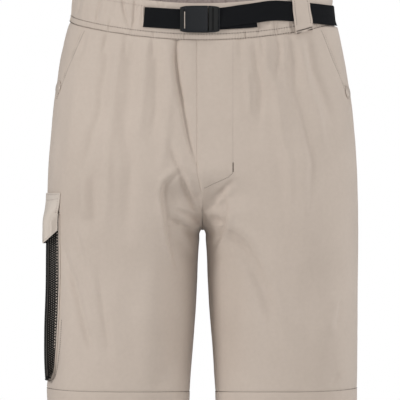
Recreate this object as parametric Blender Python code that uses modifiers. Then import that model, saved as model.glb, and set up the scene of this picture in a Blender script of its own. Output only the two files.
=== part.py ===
"""Elasticated hiking shorts with a webbing belt and a mesh cargo pocket, hollow and filled out as if worn.

Metres, +Z up. The front looks along -Y, and the wearer's right leg is at -X. The origin is at the middle of the
waist, level with the middle of the band in front. The tables are in millimetres and in the half at +X, and MM
turns them into metres. Each half is a stack of level plan curves. A place on the cloth is a height and a share:
0 at the outermost point of the side, 1 at the centre front or the inside of the leg, and -1 the same at the back.
"""

import functools
import math

import bmesh
import bpy
import numpy as np
from mathutils import Vector

for old in list(bpy.data.objects):
    bpy.data.objects.remove(old, do_unlink=True)

MM = 0.001

# Driving sizes of the garment
BAND_HEIGHT = 48.0
WAIST_SIDE_Z = -0.7  # waist seam at the sides
WAIST_FALL = 25.2  # the seam's fall from there to the centre front
WAIST_CLIMB = 14.7  # and its climb to the centre back
LEVEL_Z = -130.0  # below this height the rows of the cloth lie level
TURN_Z = -190.0  # the rise seams leave the plain front and seat here
CROTCH_Z = -269.0
SOFT_END_Z = -312.0  # beside the inside of the leg, the cloth keeps turning in down to here
CROTCH_Y = 12.0
HEM_STITCH_Z = -481.0
CENTRE_SHIFT = 7.0  # the centre front seam lies this far to the wearer's right, behind the fly
SHIFT_END_Z = -240.0  # and is back on the middle here
SEAM_GAP = 0.3
CLOTH = 1.3
HEM_CLOTH = 2.3  # the hem is turned up, so its wall is double
SQUARENESS = 2.25  # exponent of the plan curves: 2 is an ellipse



def table(names, *rows):
    """Columns by name. The first column is the key that the others follow, and its rows may fall or climb."""
    return dict(zip(names.split(", "), np.array(sorted(rows), float).T))


# Plan curves by height: half width, how far out the fullest point of the leg is, and the depths
SECTIONS = table(
    "height, side, crown, front, back",
    (62, 165.3, 0, 94.2, 100.6),
    (43, 166.2, 0, 95.4, 102),
    (20, 168.0, 0, 97.2, 104),
    (6, 169.8, 0, 98.4, 105.6),
    (-5, 173.9, 0, 99.5, 107),
    (-18, 178.4, 4, 100.8, 109.4),
    (-31, 181.2, 8, 102, 112),
    (-57, 186.2, 17, 104.5, 118),
    (-80, 189.4, 27, 106.5, 122),
    (-103, 193.0, 37, 108, 125),
    (-148, 197.6, 56, 109, 126),
    (-190, 200.3, 73, 108, 121),
    (-230, 201.6, 87, 105.5, 113),
    (-269, 202.1, 97, 101, 105),
    (-337, 202.3, 102, 94, 98),
    (-420, 202.0, 106, 87.5, 92),
    (-499, 201.0, 109, 82.5, 87.5),
)
# Inside of the leg: its distance from the middle, its depth, and how far in front of it the inseam runs
INNER_LEG = table(
    "height, gap, depth, forward",
    (-269, 0.2, 12.0, 0.0),
    (-273, 3.2, 11.8, 4.0),
    (-285, 4.6, 11.0, 9.0),
    (-337, 7.4, 8.5, 14.0),
    (-404, 11.4, 5.0, 20.0),
    (-441, 13.8, 3.0, 25.0),
    (-499, 17.2, 0.0, 31.0),
)
# Lengths round the cloth, forward from the outermost point of the side
POCKET_LINE = table(
    "height, side seam, mouth",
    (0, 2.0, 60.0),
    (-48, 10.0, 50.0),
    (-88, 19.0, 33.5),
    (-100, 21.5, 27.0),
    (-112, 24.0, 24.0),
    (-160, 25.0, 25.0),
    (-300, 18.0, 18.0),
    (-499, 10.0, 10.0),
)
TOP_ROWS = (0, -12, -28, -48, -70, -88, -100, -112, -130, -160, -190)
RISE_ROWS = 6
LEG_ROWS = (-274, -285, -303, -337, -370, -404, -441, -465, -480.5, -481.5, -499)
HIP_ROWS = (0, -12, -28, -48, -70, -88, -100, -104)
PANEL_COLUMNS = 22
HIP_COLUMNS = 4

# Folds, as ridges (height over 0) and troughs (under 0) between a top and a foot, by place in the front view.
# Columns: top x, top z, foot x, foot z, half width, height
FRONT_FOLDS = (
    (-117, -12, -122, -70, 9, 1.3),
    (-102, -14, -104, -80, 8, -1.6),
    (-64, -20, -66, -75, 8, -1.5),
    (-52, -22, -55, -80, 9, 1.2),
    (-32, -22, -35, -60, 7, -2.0),
    (-35, -60, -25, -120, 7, -1.8),
    (-25, -120, -8, -185, 7, -1.3),
    (-16, -24, -15, -90, 10, 0.9),
    (49, -20, 50, -70, 9, -1.3),
    (77, -18, 84, -95, 8, -1.7),
    (94, -16, 101, -80, 8, -1.5),
    (112, -14, 120, -75, 8, -1.6),
    (62, -20, 66, -80, 9, 1.0),
    (-44, -161, -18, -232, 10, -2.2),
    (-60, -180, -46, -300, 14, 2.2),
    (41, -205, 14, -236, 9, -2.0),
    (30, -228, 55, -290, 12, 2.0),
    (55, -290, 95, -390, 13, 1.6),
    (-169, -330, -145, -425, 8, -1.8),
    (-135, -335, -123, -425, 9, -1.5),
    (-154, -275, -137, -352, 10, 1.4),
    (-33, -438, -58, -474, 10, -1.4),
    (172, -360, 166, -402, 10, 1.2),
    (40, -300, 36, -440, 14, -1.4),
    (-38, -320, -34, -430, 14, -1.2),
)
BACK_FOLDS = (
    (-140, -2, -146, -66, 9, -1.6),
    (-112, 4, -116, -70, 9, 1.3),
    (-88, 8, -90, -62, 8, -1.5),
    (-58, 10, -62, -72, 9, 1.2),
    (-32, 12, -33, -60, 8, -1.5),
    (-8, 13, -10, -66, 8, 1.1),
    (22, 12, 22, -64, 8, -1.4),
    (48, 10, 52, -70, 9, 1.2),
    (80, 8, 84, -62, 8, -1.6),
    (108, 4, 112, -70, 9, 1.3),
    (138, 0, 145, -64, 9, -1.5),
    (-52, -170, -16, -240, 12, -2.2),
    (50, -165, 15, -238, 12, -2.2),
    (-120, -205, -60, -262, 14, -1.6),
    (118, -210, 58, -266, 14, -1.6),
    (-150, -300, -128, -420, 12, 1.8),
    (-96, -300, -88, -430, 12, -1.6),
    (146, -310, 130, -425, 12, 1.7),
    (92, -305, 86, -430, 12, -1.5),
    (-46, -320, -42, -440, 13, 1.3),
    (45, -318, 41, -436, 13, 1.3),
)
SIDE_FADE = 45.0  # folds die away over this length before the side
INNER_FADE = 34.0  # and over this length before the inside of a leg

# Waistband
BAND_ROWS = (0.3, 24.0, 48.0)
BAND_COLUMNS = 52  # a quarter of the way round
BAND_PROUD = 0.5
BAND_WALL = 2.6
GATHER_COLUMNS = 4
GATHER_DEPTH = 1.1
# Columns: x, half width, height
FRONT_GATHERS = (
    (-160, 6, -1.3),
    (-147, 6, 0.8),
    (-134, 5, -1.6),
    (-115, 6, -1.8),
    (-102, 5, 1.0),
    (-90, 5, -1.6),
    (104, 6, -1.0),
    (152, 6, -1.2),
)

# Belt, buckle and loop
WEBBING = 25.0
WEBBING_WALL = 1.5
BELT_LIFT = 2.0  # from the band's smooth face to the webbing's back
TAIL_LIFT = 1.9  # beside the buckle the webbing lies on its own tail
BUCKLE_LEFT, BUCKLE_SPLIT, BUCKLE_RIGHT = -29.0, 7.4, 22.1
BUCKLE_Z = 2.3
BUCKLE_HEIGHT = 35.4
BUCKLE_WALL = 7.0
BUCKLE_CLEAR = 2.6  # the band bulges a little lower down
BUCKLE_BARREL = 0.07
SLOT_WIDTH, SLOT_HEIGHT = 2.2, 25.0
# Columns: x, or length behind the side for the last stretch, then height of the middle and extra lift
BELT_SHORT = ((-75, 5.0, -1.4), (-71, 4.7, 0.0), (-55, 3.6, 0.2), (-29.4, 2.0, 1.4))
BELT_LONG = (
    (22.5, 3.0, TAIL_LIFT),
    (35, 4.8, TAIL_LIFT),
    (48, 6.9, TAIL_LIFT),
    (59.5, 8.5, TAIL_LIFT),
    (71.5, 10.2, 1.8),
    (83.5, 12.2, 0.4),
    (96, 13.1, 0.0),
    (107, 12.7, 0.0),
    (117, 12.0, 0.0),
    (127, 11.3, 0.0),
    (137, 10.6, 0.0),
    (146, 9.9, 0.4),
    (154, 9.3, 0.4),
    (160.5, 8.7, 0.4),
    (165, 8.3, 0.4),
)
BELT_BEHIND = ((6, 8.0, 0.4), (22, 8.4, 0.4), (38, 9.6, 0.2), (54, 11.4, 0.0), (66, 13.2, 0.0), (72, 14.0, -1.4))
BELT_TAIL = ((22.5, 2.4, 0.0), (37, 3.4, 0.0), (53, 4.4, 0.0), (68.8, 5.4, 0.0))
LOOP_WALL = 1.4
LOOP_WIDTH = 23.5
# Columns: height, middle x, lift
LOOP_ROWS = (
    (35.5, 124.0, 2.0),
    (29.5, 124.6, 2.0),
    (25.5, 125.1, 4.1),
    (12.0, 126.6, 4.2),
    (-2.5, 128.6, 4.1),
    (-6.0, 129.2, 2.0),
    (-14.0, 130.4, 2.0),
)

# Snaps
# Half, height and x of each cap, and the radius and height of its profile's points
SNAP_PLACES = {"snap_right": (-1, -87.0, 186.3), "snap_left": (1, -93.0, 187.5)}
SNAP_DOME = ((0.0, 2.6), (3.2, 2.5), (5.4, 2.1), (5.9, 1.6))
SNAP_RIM = ((6.8, 1.9), (7.6, 1.5), (8.0, 0.8), (7.7, 0.0), (0.0, 0.0))
SNAP_SEAT = 0.35

# Cargo pocket on the wearer's right leg, in the half at +X and mirrored onto it
POCKET_WALL = 1.2
POCKET_FOOT_Z = -466.5
POCKET_CORNER_Z = -454.0
POCKET_ATTACH = (58.0, -85.0)  # lengths round the leg of the sewn edges, in front of and behind the side
# In front the sewn edge leans back towards the foot
FRONT_ATTACH = table(
    "height, length",
    (-250, 62.0),
    (-318, 61.5),
    (-350, 59.5),
    (-376, 57.0),
    (-402, 54.0),
    (-430, 49.5),
    (-454, 43.0),
)
GUSSET_FOOT_Z = -464.6
GUSSET_LIFT = 0.9
POCKET_PRESS = 2.8  # the pocket flattens the leg behind it
FACE_PLAN = table(
    "share, x, y",
    (0.0, 203.0, -52.0),
    (0.3, 205.5, -18.0),
    (0.55, 205.3, 12.0),
    (0.8, 200.6, 47.0),
    (1.0, 187.0, 78.0),
)
FACE_FLARE = table(
    "height, out",
    (-250, -3.2),
    (-285, -2.4),
    (-350, -1.7),
    (-402, 0.0),
    (-455, -0.6),
    (-467, -1.4),
)
FACE_ROWS = (-250, -285, -318, -350, -376, -402, -430, -454, -466.5)
FACE_CORNER = 0.09
BELLOWS = 2.2
FLAP_TOP_Z = -223.6
FLAP_TURN_Z = -262.0
FLAP_SEAT = 0.8
# Columns: share of the way from front to back, x, y, and the height of the free edge
FLAP_PLAN = (
    (0.0, 188.5, -58.5, -272),
    (0.04, 196.0, -60.5, -279),
    (0.08, 202.6, -60.0, -285),
    (0.12, 206.0, -56.0, -287),
    (0.18, 207.4, -46.0, -289),
    (0.3, 208.0, -28.0, -289),
    (0.45, 208.2, -6.0, -289),
    (0.6, 208.0, 16.0, -289),
    (0.75, 205.6, 38.0, -289),
    (0.88, 199.6, 60.0, -287),
    (0.95, 194.0, 74.0, -283),
    (1.0, 188.5, 83.0, -276),
)
FLAP_TOP = (71.0, -98.0)
FLAP_SHARES = (0.0, 0.12, 0.3, 0.48, 0.66, 0.84, 1.0)


def ease(share):
    share = np.clip(share, 0.0, 1.0)
    return share * share * (3.0 - 2.0 * share)


def smooth(rows, column, at):
    """A column's value on a smooth curve through the table's rows, whose first column is the key."""
    keys, values = next(iter(rows.values())), rows[column]
    slopes = np.gradient(values, keys)
    at = min(max(at, keys[0]), keys[-1])
    i = min(max(int(np.searchsorted(keys, at)) - 1, 0), len(keys) - 2)
    step = keys[i + 1] - keys[i]
    t = (at - keys[i]) / step
    start = (2 * t**3 - 3 * t**2 + 1) * values[i] + (t**3 - 2 * t**2 + t) * step * slopes[i]
    end = (3 * t**2 - 2 * t**3) * values[i + 1] + (t**3 - t**2) * step * slopes[i + 1]
    return start + end


def straight(rows, column, at):
    return float(np.interp(at, next(iter(rows.values())), rows[column]))


def rise_depth(z, depth):
    """Depth of the centre seam, which runs under from the front or the seat to the crotch."""
    if z >= TURN_Z:
        return depth
    if z <= CROTCH_Z:
        return smooth(INNER_LEG, "depth", z)
    turn = math.asin((TURN_Z - z) / (TURN_Z - CROTCH_Z))
    return CROTCH_Y + (depth - CROTCH_Y) * math.cos(turn)


def soft_depth(z, depth):
    """Depth that the inside of the leg draws the cloth beside it to. It changes slowly past the crotch."""
    return depth + (smooth(INNER_LEG, "depth", z) - depth) * ease((TURN_Z - z) / (TURN_Z - SOFT_END_Z))


def quarters(side, crown, depth, inner_x, inner_y, soft_y):
    """Plan points from the side round the crown of the leg to the inside, and their length on the soft course."""
    turn = np.linspace(0.0, math.pi / 2, 49)
    power = 2.0 / SQUARENESS
    outward = np.cos(turn).clip(0.0) ** power
    onward = np.sin(turn).clip(0.0) ** power
    share = turn / turn[-1]
    tube = ease((depth - soft_y) / (0.62 * depth))
    saddle_x = crown + (inner_x - crown) * share
    tube_x = crown + (inner_x - crown) * onward
    x = np.concatenate([crown + (side - crown) * outward, (saddle_x + (tube_x - saddle_x) * tube)[1:]])
    courses = []
    for end_y in (soft_y + (inner_y - soft_y) * share**5, soft_y):
        saddle_y = depth + (end_y - depth) * ease(share)
        tube_y = end_y + (depth - end_y) * outward
        courses.append(np.concatenate([depth * onward, (saddle_y + (tube_y - saddle_y) * tube)[1:]]))
    length = np.concatenate([[0.0], np.cumsum(np.hypot(np.diff(x), np.diff(courses[1])))])
    return x, courses[0], length


@functools.lru_cache(maxsize=None)
def half_section(z):
    """x, y and the length round the cloth, from the inside or centre at the back to the same in front."""
    side, crown, front, back = (smooth(SECTIONS, name, z) for name in ("side", "crown", "front", "back"))
    inner_x = smooth(INNER_LEG, "gap", z) if z < CROTCH_Z else 0.0
    front_x, front_y, run = quarters(side, crown, -front, inner_x, rise_depth(z, -front), soft_depth(z, -front))
    back_x, back_y, back_run = quarters(side, crown, back, inner_x, rise_depth(z, back), soft_depth(z, back))
    x = np.concatenate([back_x[::-1], front_x[1:]])
    y = np.concatenate([back_y[::-1], front_y[1:]])
    return x, y, np.concatenate([-back_run[::-1], run[1:]])


def span(z, forward=True):
    """Length of cloth from the side to the centre or the inside of the leg."""
    length = half_section(round(z, 3))[2]
    return length[-1] if forward else -length[0]


def plan(z, share):
    """x and y of a place on the half at +X. Past either end it runs on to the other half, or round the leg."""
    x, y, length = half_section(round(z, 3))
    at = share * (length[-1] if share > 0 else -length[0])
    flip = 1.0
    if at > length[-1]:
        over = at - length[-1]
        at, flip = (length[-1] - over, -1.0) if z > CROTCH_Z else (length[0] + over, 1.0)
    if at < length[0]:
        over = length[0] - at
        at, flip = (length[0] + over, -1.0) if z > CROTCH_Z else (length[-1] - over, 1.0)
    px = flip * float(np.interp(at, length, x))
    if z < SHIFT_END_Z:
        px = max(px, SEAM_GAP / 2)
    return np.array((px, float(np.interp(at, length, y)), z))


def outward_normal(z, share):
    step = 1.5
    turn = step / span(z)
    along = plan(z, share + turn) - plan(z, share - turn)
    down = plan(z - step, share) - plan(z + step, share)
    normal = np.cross(along, down)
    return normal / np.linalg.norm(normal)


def fold_height(row, x, z):
    top_x, top_z, foot_x, foot_z, width, height = row
    run_x, run_z = foot_x - top_x, foot_z - top_z
    length = math.hypot(run_x, run_z)
    along = ((x - top_x) * run_x + (z - top_z) * run_z) / length**2
    across = abs((x - top_x) * run_z - (z - top_z) * run_x) / length
    if across > 2.6 * width or not -0.3 < along < 1.3:
        return 0.0
    fade = ease((along + 0.3) / 0.4) * ease((1.3 - along) / 0.5)
    return height * math.exp(-((across / width) ** 2)) * fade


def relief(half, z, share, x):
    """How far the folds lift the cloth at a place on a half, 1 at +X and -1 at -X."""
    forward = share > 0
    length = span(z, forward)
    around = abs(share) * length
    fade = ease(around / SIDE_FADE)
    inside = ease((1.0 - abs(share)) * length / INNER_FADE)
    below = ease((CROTCH_Z + 30.0 - z) / 30.0)
    fade *= 1.0 + (inside - 1.0) * below
    folds = FRONT_FOLDS if forward else BACK_FOLDS
    height = fade * sum(fold_height(row, half * x, z) for row in folds)
    if half < 0:
        reach = math.exp(-((around / 62.0) ** 2))
        height -= POCKET_PRESS * reach * ease((-225.0 - z) / 30.0) * ease((z + 478.0) / 30.0)
    return height


def cloth(half, z, share, lift=0.0):
    """A point on the outside of the cloth, lifted off it by a length, in millimetres."""
    point = plan(z, share)
    point = point + outward_normal(z, share) * (lift + relief(half, z, share, point[0]))
    if share < 0 or z < SHIFT_END_Z:
        point[0] = max(point[0], SEAM_GAP / 2)
    return np.array((half * point[0], point[1], point[2]))


def seam_height(share):
    """Height of the waist seam, which falls to the front and climbs to the back."""
    swing = math.sin(min(abs(share), 1.0) * math.pi / 2) ** 1.3
    return WAIST_SIDE_Z + swing * (WAIST_CLIMB if share < 0 else -WAIST_FALL)


def row_height(base, share):
    """Height of a row at a place: rows follow the waist seam at the top and lie level from LEVEL_Z down."""
    if base <= LEVEL_Z:
        return base
    seam = seam_height(share)
    return seam + (base / LEVEL_Z) * (LEVEL_Z - seam)


def share_of_x(z, x):
    """The share, on the front, of the place at a distance x from the middle."""
    px, _, length = half_section(round(z, 3))
    front = length >= 0
    return float(np.interp(-x, -px[front], length[front])) / length[-1]


def share_of_length(z, length):
    return length / span(z, length > 0)


def finish_mesh(name, mesh, look):
    """Gives a mesh its own material, from a colour, a roughness and a metallic value."""
    colour, roughness, metallic = look
    material = bpy.data.materials.new(name)
    material.use_nodes = True
    shader = material.node_tree.nodes["Principled BSDF"]
    shader.inputs["Base Color"].default_value = (*colour, 1.0)
    shader.inputs["Roughness"].default_value = roughness
    shader.inputs["Metallic"].default_value = metallic
    mesh.materials.append(material)


def place(obj, collection):
    """Moves an object out of its collections into one of this file's."""
    for old_collection in list(obj.users_collection):
        old_collection.objects.unlink(obj)
    collection.objects.link(obj)


def new_object(name, mesh, look):
    finish_mesh(name, mesh, look)
    obj = bpy.data.objects.new(name, mesh)
    obj.parent = waist
    garment.objects.link(obj)
    return obj


def wall(name, outer, inner, look, ring=False):
    """A closed wall between two grids of points, given as rows of columns. A ring closes its columns."""
    rows, columns = len(outer), len(outer[0])
    mesh = bpy.data.meshes.new(name)
    bm = bmesh.new()
    faces = [[[bm.verts.new(Vector(p) * MM) for p in row] for row in grid] for grid in (outer, inner)]
    turns = columns if ring else columns - 1
    for row in range(rows - 1):
        for column in range(turns):
            beside = (column + 1) % columns
            for side in faces:
                bm.faces.new((side[row][column], side[row][beside], side[row + 1][beside], side[row + 1][column]))
    for row in (0, rows - 1):
        for column in range(turns):
            beside = (column + 1) % columns
            bm.faces.new((faces[0][row][column], faces[0][row][beside], faces[1][row][beside], faces[1][row][column]))
    for column in () if ring else (0, columns - 1):
        for row in range(rows - 1):
            bm.faces.new(
                (faces[0][row][column], faces[0][row + 1][column], faces[1][row + 1][column], faces[1][row][column])
            )
    bmesh.ops.recalc_face_normals(bm, faces=bm.faces[:])
    bmesh.ops.triangulate(bm, faces=bm.faces[:])
    bm.to_mesh(mesh)
    bm.free()
    mesh.shade_smooth()
    mesh.set_sharp_from_angle(angle=math.radians(50))
    return new_object(name, mesh, look)


def cloth_wall(name, half, rows, edges, columns):
    """A panel between two edges, which give each row's first and last share."""
    outer, inner = [], []
    for base in rows:
        first, last = edges(base)
        wall_depth = HEM_CLOTH if base < HEM_STITCH_Z else CLOTH
        places = [(row_height(base, share), share) for share in np.linspace(first, last, columns + 1)]
        outer.append([cloth(half, z, share) for z, share in places])
        inner.append([cloth(half, z, share, -wall_depth) for z, share in places])
    return wall(name, outer, inner, SHELL)


def panel_rows():
    turns = [(i + 1) / RISE_ROWS * math.pi / 2 for i in range(RISE_ROWS)]
    rise = [TURN_Z + (CROTCH_Z - TURN_Z) * math.sin(turn) for turn in turns]
    return [*TOP_ROWS, *rise, *LEG_ROWS]


def front_edges(half):
    def edges(base):
        length = span(base)
        outer = (straight(POCKET_LINE, "mouth", base) + SEAM_GAP / 2) / length
        if base >= CROTCH_Z:
            shift = half * CENTRE_SHIFT * ease((base - SHIFT_END_Z) / (TURN_Z - SHIFT_END_Z))
            return outer, 1.0 + (shift - SEAM_GAP / 2) / length
        return outer, 1.0 - (smooth(INNER_LEG, "forward", base) + SEAM_GAP / 2) / length

    return edges


def back_edges(base):
    """Behind, a panel runs round the side to the side seam, and under the leg to the inseam."""
    forward = (straight(POCKET_LINE, "side seam", base) - SEAM_GAP / 2) / span(base)
    length = span(base, False)
    if base >= CROTCH_Z:
        return forward, -1.0 + SEAM_GAP / 2 / length
    return forward, -1.0 - (smooth(INNER_LEG, "forward", base) - SEAM_GAP / 2) / length


def hip_edges(base):
    length = span(base)
    seam = (straight(POCKET_LINE, "side seam", base) + SEAM_GAP / 2) / length
    return seam, (straight(POCKET_LINE, "mouth", base) - SEAM_GAP / 2) / length


def band_wave(half, share, x, index):
    """The elastic's gathers: even ones behind and at the sides, and the few that show in front."""
    even = GATHER_DEPTH * math.cos(2 * math.pi * index / GATHER_COLUMNS) * (1.0 + 0.3 * math.sin(1.7 * index))
    behind = 1.0 - ease(share / 0.12)
    front = sum(height * math.exp(-(((half * x - at) / width) ** 2)) for at, width, height in FRONT_GATHERS)
    return even * behind + (1.0 - behind) * front


def make_band():
    places = []
    for half, start, end in ((1, 1, 0), (1, 0, -1), (-1, -1, 0), (-1, 0, 1)):
        places += [(half, start + (end - start) * i / BAND_COLUMNS) for i in range(BAND_COLUMNS)]
    outer, inner = [], []
    for height in reversed(BAND_ROWS):
        outside, inside = [], []
        for index, (half, share) in enumerate(places):
            z = seam_height(share) + height
            point = plan(z, share)
            wave = band_wave(half, share, point[0], index) * (0.7 + 0.3 * height / BAND_HEIGHT)
            normal = outward_normal(z, share)
            turned = np.array((half, 1.0, 1.0))
            outside.append((point + normal * (BAND_PROUD + wave)) * turned)
            inside.append((point + normal * (BAND_PROUD + wave - BAND_WALL)) * turned)
        outer.append(outside)
        inner.append(inside)
    return wall("waistband", outer, inner, SHELL, ring=True)


def smooth_band(half, z, share, lift):
    """A point off the band's face as it lies under the gathers."""
    point = plan(z, share) + outward_normal(z, share) * (BAND_PROUD + lift)
    return np.array((half * point[0], point[1], point[2]))


def strap(name, stations, lift, width=WEBBING, thickness=WEBBING_WALL):
    """Webbing along the band. A station is the half, the share, the height of the middle and the extra lift."""
    outer, inner = [[], []], [[], []]
    for half, share, middle, extra in stations:
        for row, edge in enumerate((width / 2, -width / 2)):
            outer[row].append(smooth_band(half, middle + edge, share, lift + extra + thickness))
            inner[row].append(smooth_band(half, middle + edge, share, lift + extra))
    return wall(name, outer, inner, WEBBING_LOOK)


def front_stations(table):
    return [(math.copysign(1, x), share_of_x(z, abs(x)), z, extra) for x, z, extra in table]


def make_belt():
    behind = [(1, share_of_length(z, -length), z, extra) for length, z, extra in BELT_BEHIND]
    strap("belt_short", front_stations(BELT_SHORT), BELT_LIFT)
    strap("belt_long", front_stations(BELT_LONG) + behind, BELT_LIFT)
    strap("belt_tail", front_stations(BELT_TAIL), BELT_LIFT)


def make_loop():
    outer, inner = [], []
    for z, middle, lift in LOOP_ROWS:
        places = [middle + LOOP_WIDTH * (i / 3 - 0.5) for i in range(4)]
        outer.append([smooth_band(1, z, share_of_x(z, x), lift + LOOP_WALL) for x in places])
        inner.append([smooth_band(1, z, share_of_x(z, x), lift) for x in places])
    return wall("belt_loop", outer, inner, SHELL)


def barrel_block(name, left, right, back_y, depth, look):
    """A block whose height swells a little towards the middle of the buckle, with round edges."""
    bpy.ops.mesh.primitive_cube_add(size=1.0)
    obj = bpy.context.object
    obj.name = name
    bm = bmesh.new()
    bm.from_mesh(obj.data)
    across = [e for e in bm.edges if abs(e.verts[0].co.x - e.verts[1].co.x) > 0.5]
    bmesh.ops.subdivide_edges(bm, edges=across, cuts=5)
    middle = (BUCKLE_LEFT + BUCKLE_RIGHT) / 2
    reach = (BUCKLE_RIGHT - BUCKLE_LEFT) / 2
    for vert in bm.verts:
        x = left + (vert.co.x + 0.5) * (right - left)
        swell = 1.0 - BUCKLE_BARREL * ((x - middle) / reach) ** 2
        bow = 0.8 * ((x - middle) / reach) ** 2
        y = back_y - (0.5 - vert.co.y) * depth + bow
        vert.co = Vector((x, y, BUCKLE_Z + vert.co.z * BUCKLE_HEIGHT * swell)) * MM
    bm.to_mesh(obj.data)
    bm.free()
    rounded = obj.modifiers.new("rounded", "BEVEL")
    rounded.width = 1.6 * MM
    rounded.segments = 2
    rounded.limit_method = "ANGLE"
    rounded.angle_limit = math.radians(40)
    finish_mesh(name, obj.data, look)
    place(obj, garment)
    obj.parent = waist
    return obj


def make_buckle():
    back_y = plan(BUCKLE_Z, share_of_x(BUCKLE_Z, 0.0))[1] - BAND_PROUD - BUCKLE_CLEAR
    barrel_block("buckle_body", BUCKLE_LEFT, BUCKLE_SPLIT - SEAM_GAP, back_y, BUCKLE_WALL, PLASTIC)
    frame = barrel_block("buckle_frame", BUCKLE_SPLIT, BUCKLE_RIGHT, back_y, BUCKLE_WALL - 0.8, PLASTIC)
    for index, x in enumerate((BUCKLE_SPLIT + 4.2, BUCKLE_RIGHT - 4.4)):
        bpy.ops.mesh.primitive_cube_add(size=1.0, location=(x * MM, (back_y - 3.0) * MM, BUCKLE_Z * MM))
        cutter = bpy.context.object
        cutter.name = f"slot_cutter_{index}"
        cutter.dimensions = (SLOT_WIDTH * MM, 20.0 * MM, SLOT_HEIGHT * MM)
        place(cutter, cutters)
        cutter.hide_render = True
        cutter.display_type = "WIRE"
        slot = frame.modifiers.new(f"slot_{index}", "BOOLEAN")
        slot.operation = "DIFFERENCE"
        slot.object = cutter


def make_snap(name, half, z, x):
    """A turned cap, standing on the cloth with its axis along the cloth's normal."""
    share = share_of_x(z, x)
    seat = cloth(half, z, share, SNAP_SEAT)
    normal = outward_normal(z, share) * np.array((half, 1.0, 1.0))
    mesh = bpy.data.meshes.new(name)
    bm = bmesh.new()
    verts = [bm.verts.new(Vector((radius, 0.0, height)) * MM) for radius, height in (*SNAP_DOME, *SNAP_RIM)]
    for first, second in zip(verts, verts[1:]):
        bm.edges.new((first, second))
    bm.to_mesh(mesh)
    bm.free()
    obj = new_object(name, mesh, SNAP)
    turned = obj.modifiers.new("turned", "SCREW")
    turned.steps = turned.render_steps = 20
    turned.use_merge_vertices = True
    turned.merge_threshold = 0.00001
    obj.location = Vector(seat) * MM
    obj.rotation_mode = "QUATERNION"
    obj.rotation_quaternion = Vector(normal).to_track_quat("Z", "Y")
    return obj


def face_point(z, share, inset=0.0):
    """A point of the cargo pocket's outer face, or behind it by an inset."""
    flare = smooth(FACE_FLARE, "out", z)
    before, here, ahead = (
        np.array((smooth(FACE_PLAN, "x", at), smooth(FACE_PLAN, "y", at))) for at in (share - 0.02, share, share + 0.02)
    )
    x, y = here
    run = ahead - before
    normal = np.array((run[1], -run[0])) / np.linalg.norm(run)
    return np.array((-(x + flare - normal[0] * inset), y - normal[1] * inset, z))


def leg_point(z, length, lift):
    return cloth(-1, z, share_of_length(z, length), lift)


def grid_normals(grid):
    """Unit normals of a grid of points, by the runs of its rows and columns."""
    points = np.array(grid)
    down = np.gradient(points, axis=0)
    across = np.gradient(points, axis=1)
    normals = np.cross(down, across)
    return normals / np.linalg.norm(normals, axis=2, keepdims=True)


def make_cargo_face():
    outer, inner = [], []
    for z in FACE_ROWS:
        corner = FACE_CORNER * ease((POCKET_CORNER_Z - z) / (POCKET_CORNER_Z - POCKET_FOOT_Z))
        shares = np.linspace(corner, 1.0 - corner, 11)
        outer.append([face_point(z, share) for share in shares])
        inner.append([face_point(z, share, POCKET_WALL) for share in shares])
    return wall("cargo_face", outer, inner, MESH)


def make_cargo_gusset():
    """The bellows: a U of mesh from the leg to the back of the face, open at the top under the flap."""
    inset = POCKET_WALL + 2 * SEAM_GAP
    front_length, back_length = POCKET_ATTACH
    down = [(0.012, z, straight(FRONT_ATTACH, "length", z), z) for z in FACE_ROWS[:-1]]
    up = [(0.988, z, back_length, z) for z in reversed(FACE_ROWS[:-1])]
    across = []
    for share in (0.10, 0.2, 0.32, 0.44, 0.56, 0.68, 0.8, 0.90):
        length = front_length + (back_length - front_length) * (0.06 + 0.88 * share)
        across.append((share, GUSSET_FOOT_Z, length, GUSSET_FOOT_Z))
    grid = []
    for share, z, length, leg_z in [*down, *across, *up]:
        sewn = leg_point(leg_z, length, GUSSET_LIFT)
        edge = face_point(z, share, inset)
        grid.append([sewn, (sewn + edge) / 2, edge])
    normals = grid_normals(grid)
    middle = np.mean([row[2] for row in grid], axis=0)
    inward = np.sign(np.einsum("ijk,ijk->ij", normals, middle - np.array(grid)))[:, :, None] * normals
    grid = np.array(grid)
    reach = grid[:, 2] - grid[:, 0]
    depth = np.linalg.norm(reach, axis=1, keepdims=True)
    grid[:, 1] += inward[:, 1] * BELLOWS * np.clip(depth / 14.0, 0.0, 1.0)
    inside = grid + inward * POCKET_WALL * 0.8
    inside[:, 0] += reach / depth * 0.9
    return wall("cargo_gusset", grid, inside, MESH)


def make_cargo_flap():
    """Sewn flat on the leg along its top, the flap swells over the bellows and turns round its front edge."""
    outer, inner = [], []
    for share_down in FLAP_SHARES:
        row = []
        for share, x, y, foot_z in FLAP_PLAN:
            z = FLAP_TOP_Z + (foot_z - FLAP_TOP_Z) * share_down
            length = FLAP_TOP[0] + (FLAP_TOP[1] - FLAP_TOP[0]) * share
            swell = ease((FLAP_TOP_Z - z) / (FLAP_TOP_Z - FLAP_TURN_Z) * 0.9 + 0.1 * share_down)
            sewn = leg_point(z, length, FLAP_SEAT + POCKET_WALL)
            row.append(sewn + (np.array((-x, y, z)) - sewn) * swell)
        outer.append(row)
    normals = grid_normals(outer)
    side = np.sign(normals[..., 0:1] * -1.0)
    inner = np.array(outer) - normals * side * POCKET_WALL
    return wall("cargo_flap", outer, inner, SHELL)


# Colour, roughness and metallic value of each kind of piece
SHELL = ((0.54, 0.465, 0.4), 0.8, 0.0)
WEBBING_LOOK = ((0.012, 0.013, 0.015), 0.75, 0.0)
PLASTIC = ((0.02, 0.021, 0.024), 0.35, 0.0)
MESH = ((0.03, 0.028, 0.026), 0.85, 0.0)
SNAP = ((0.46, 0.39, 0.33), 0.4, 0.3)

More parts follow.
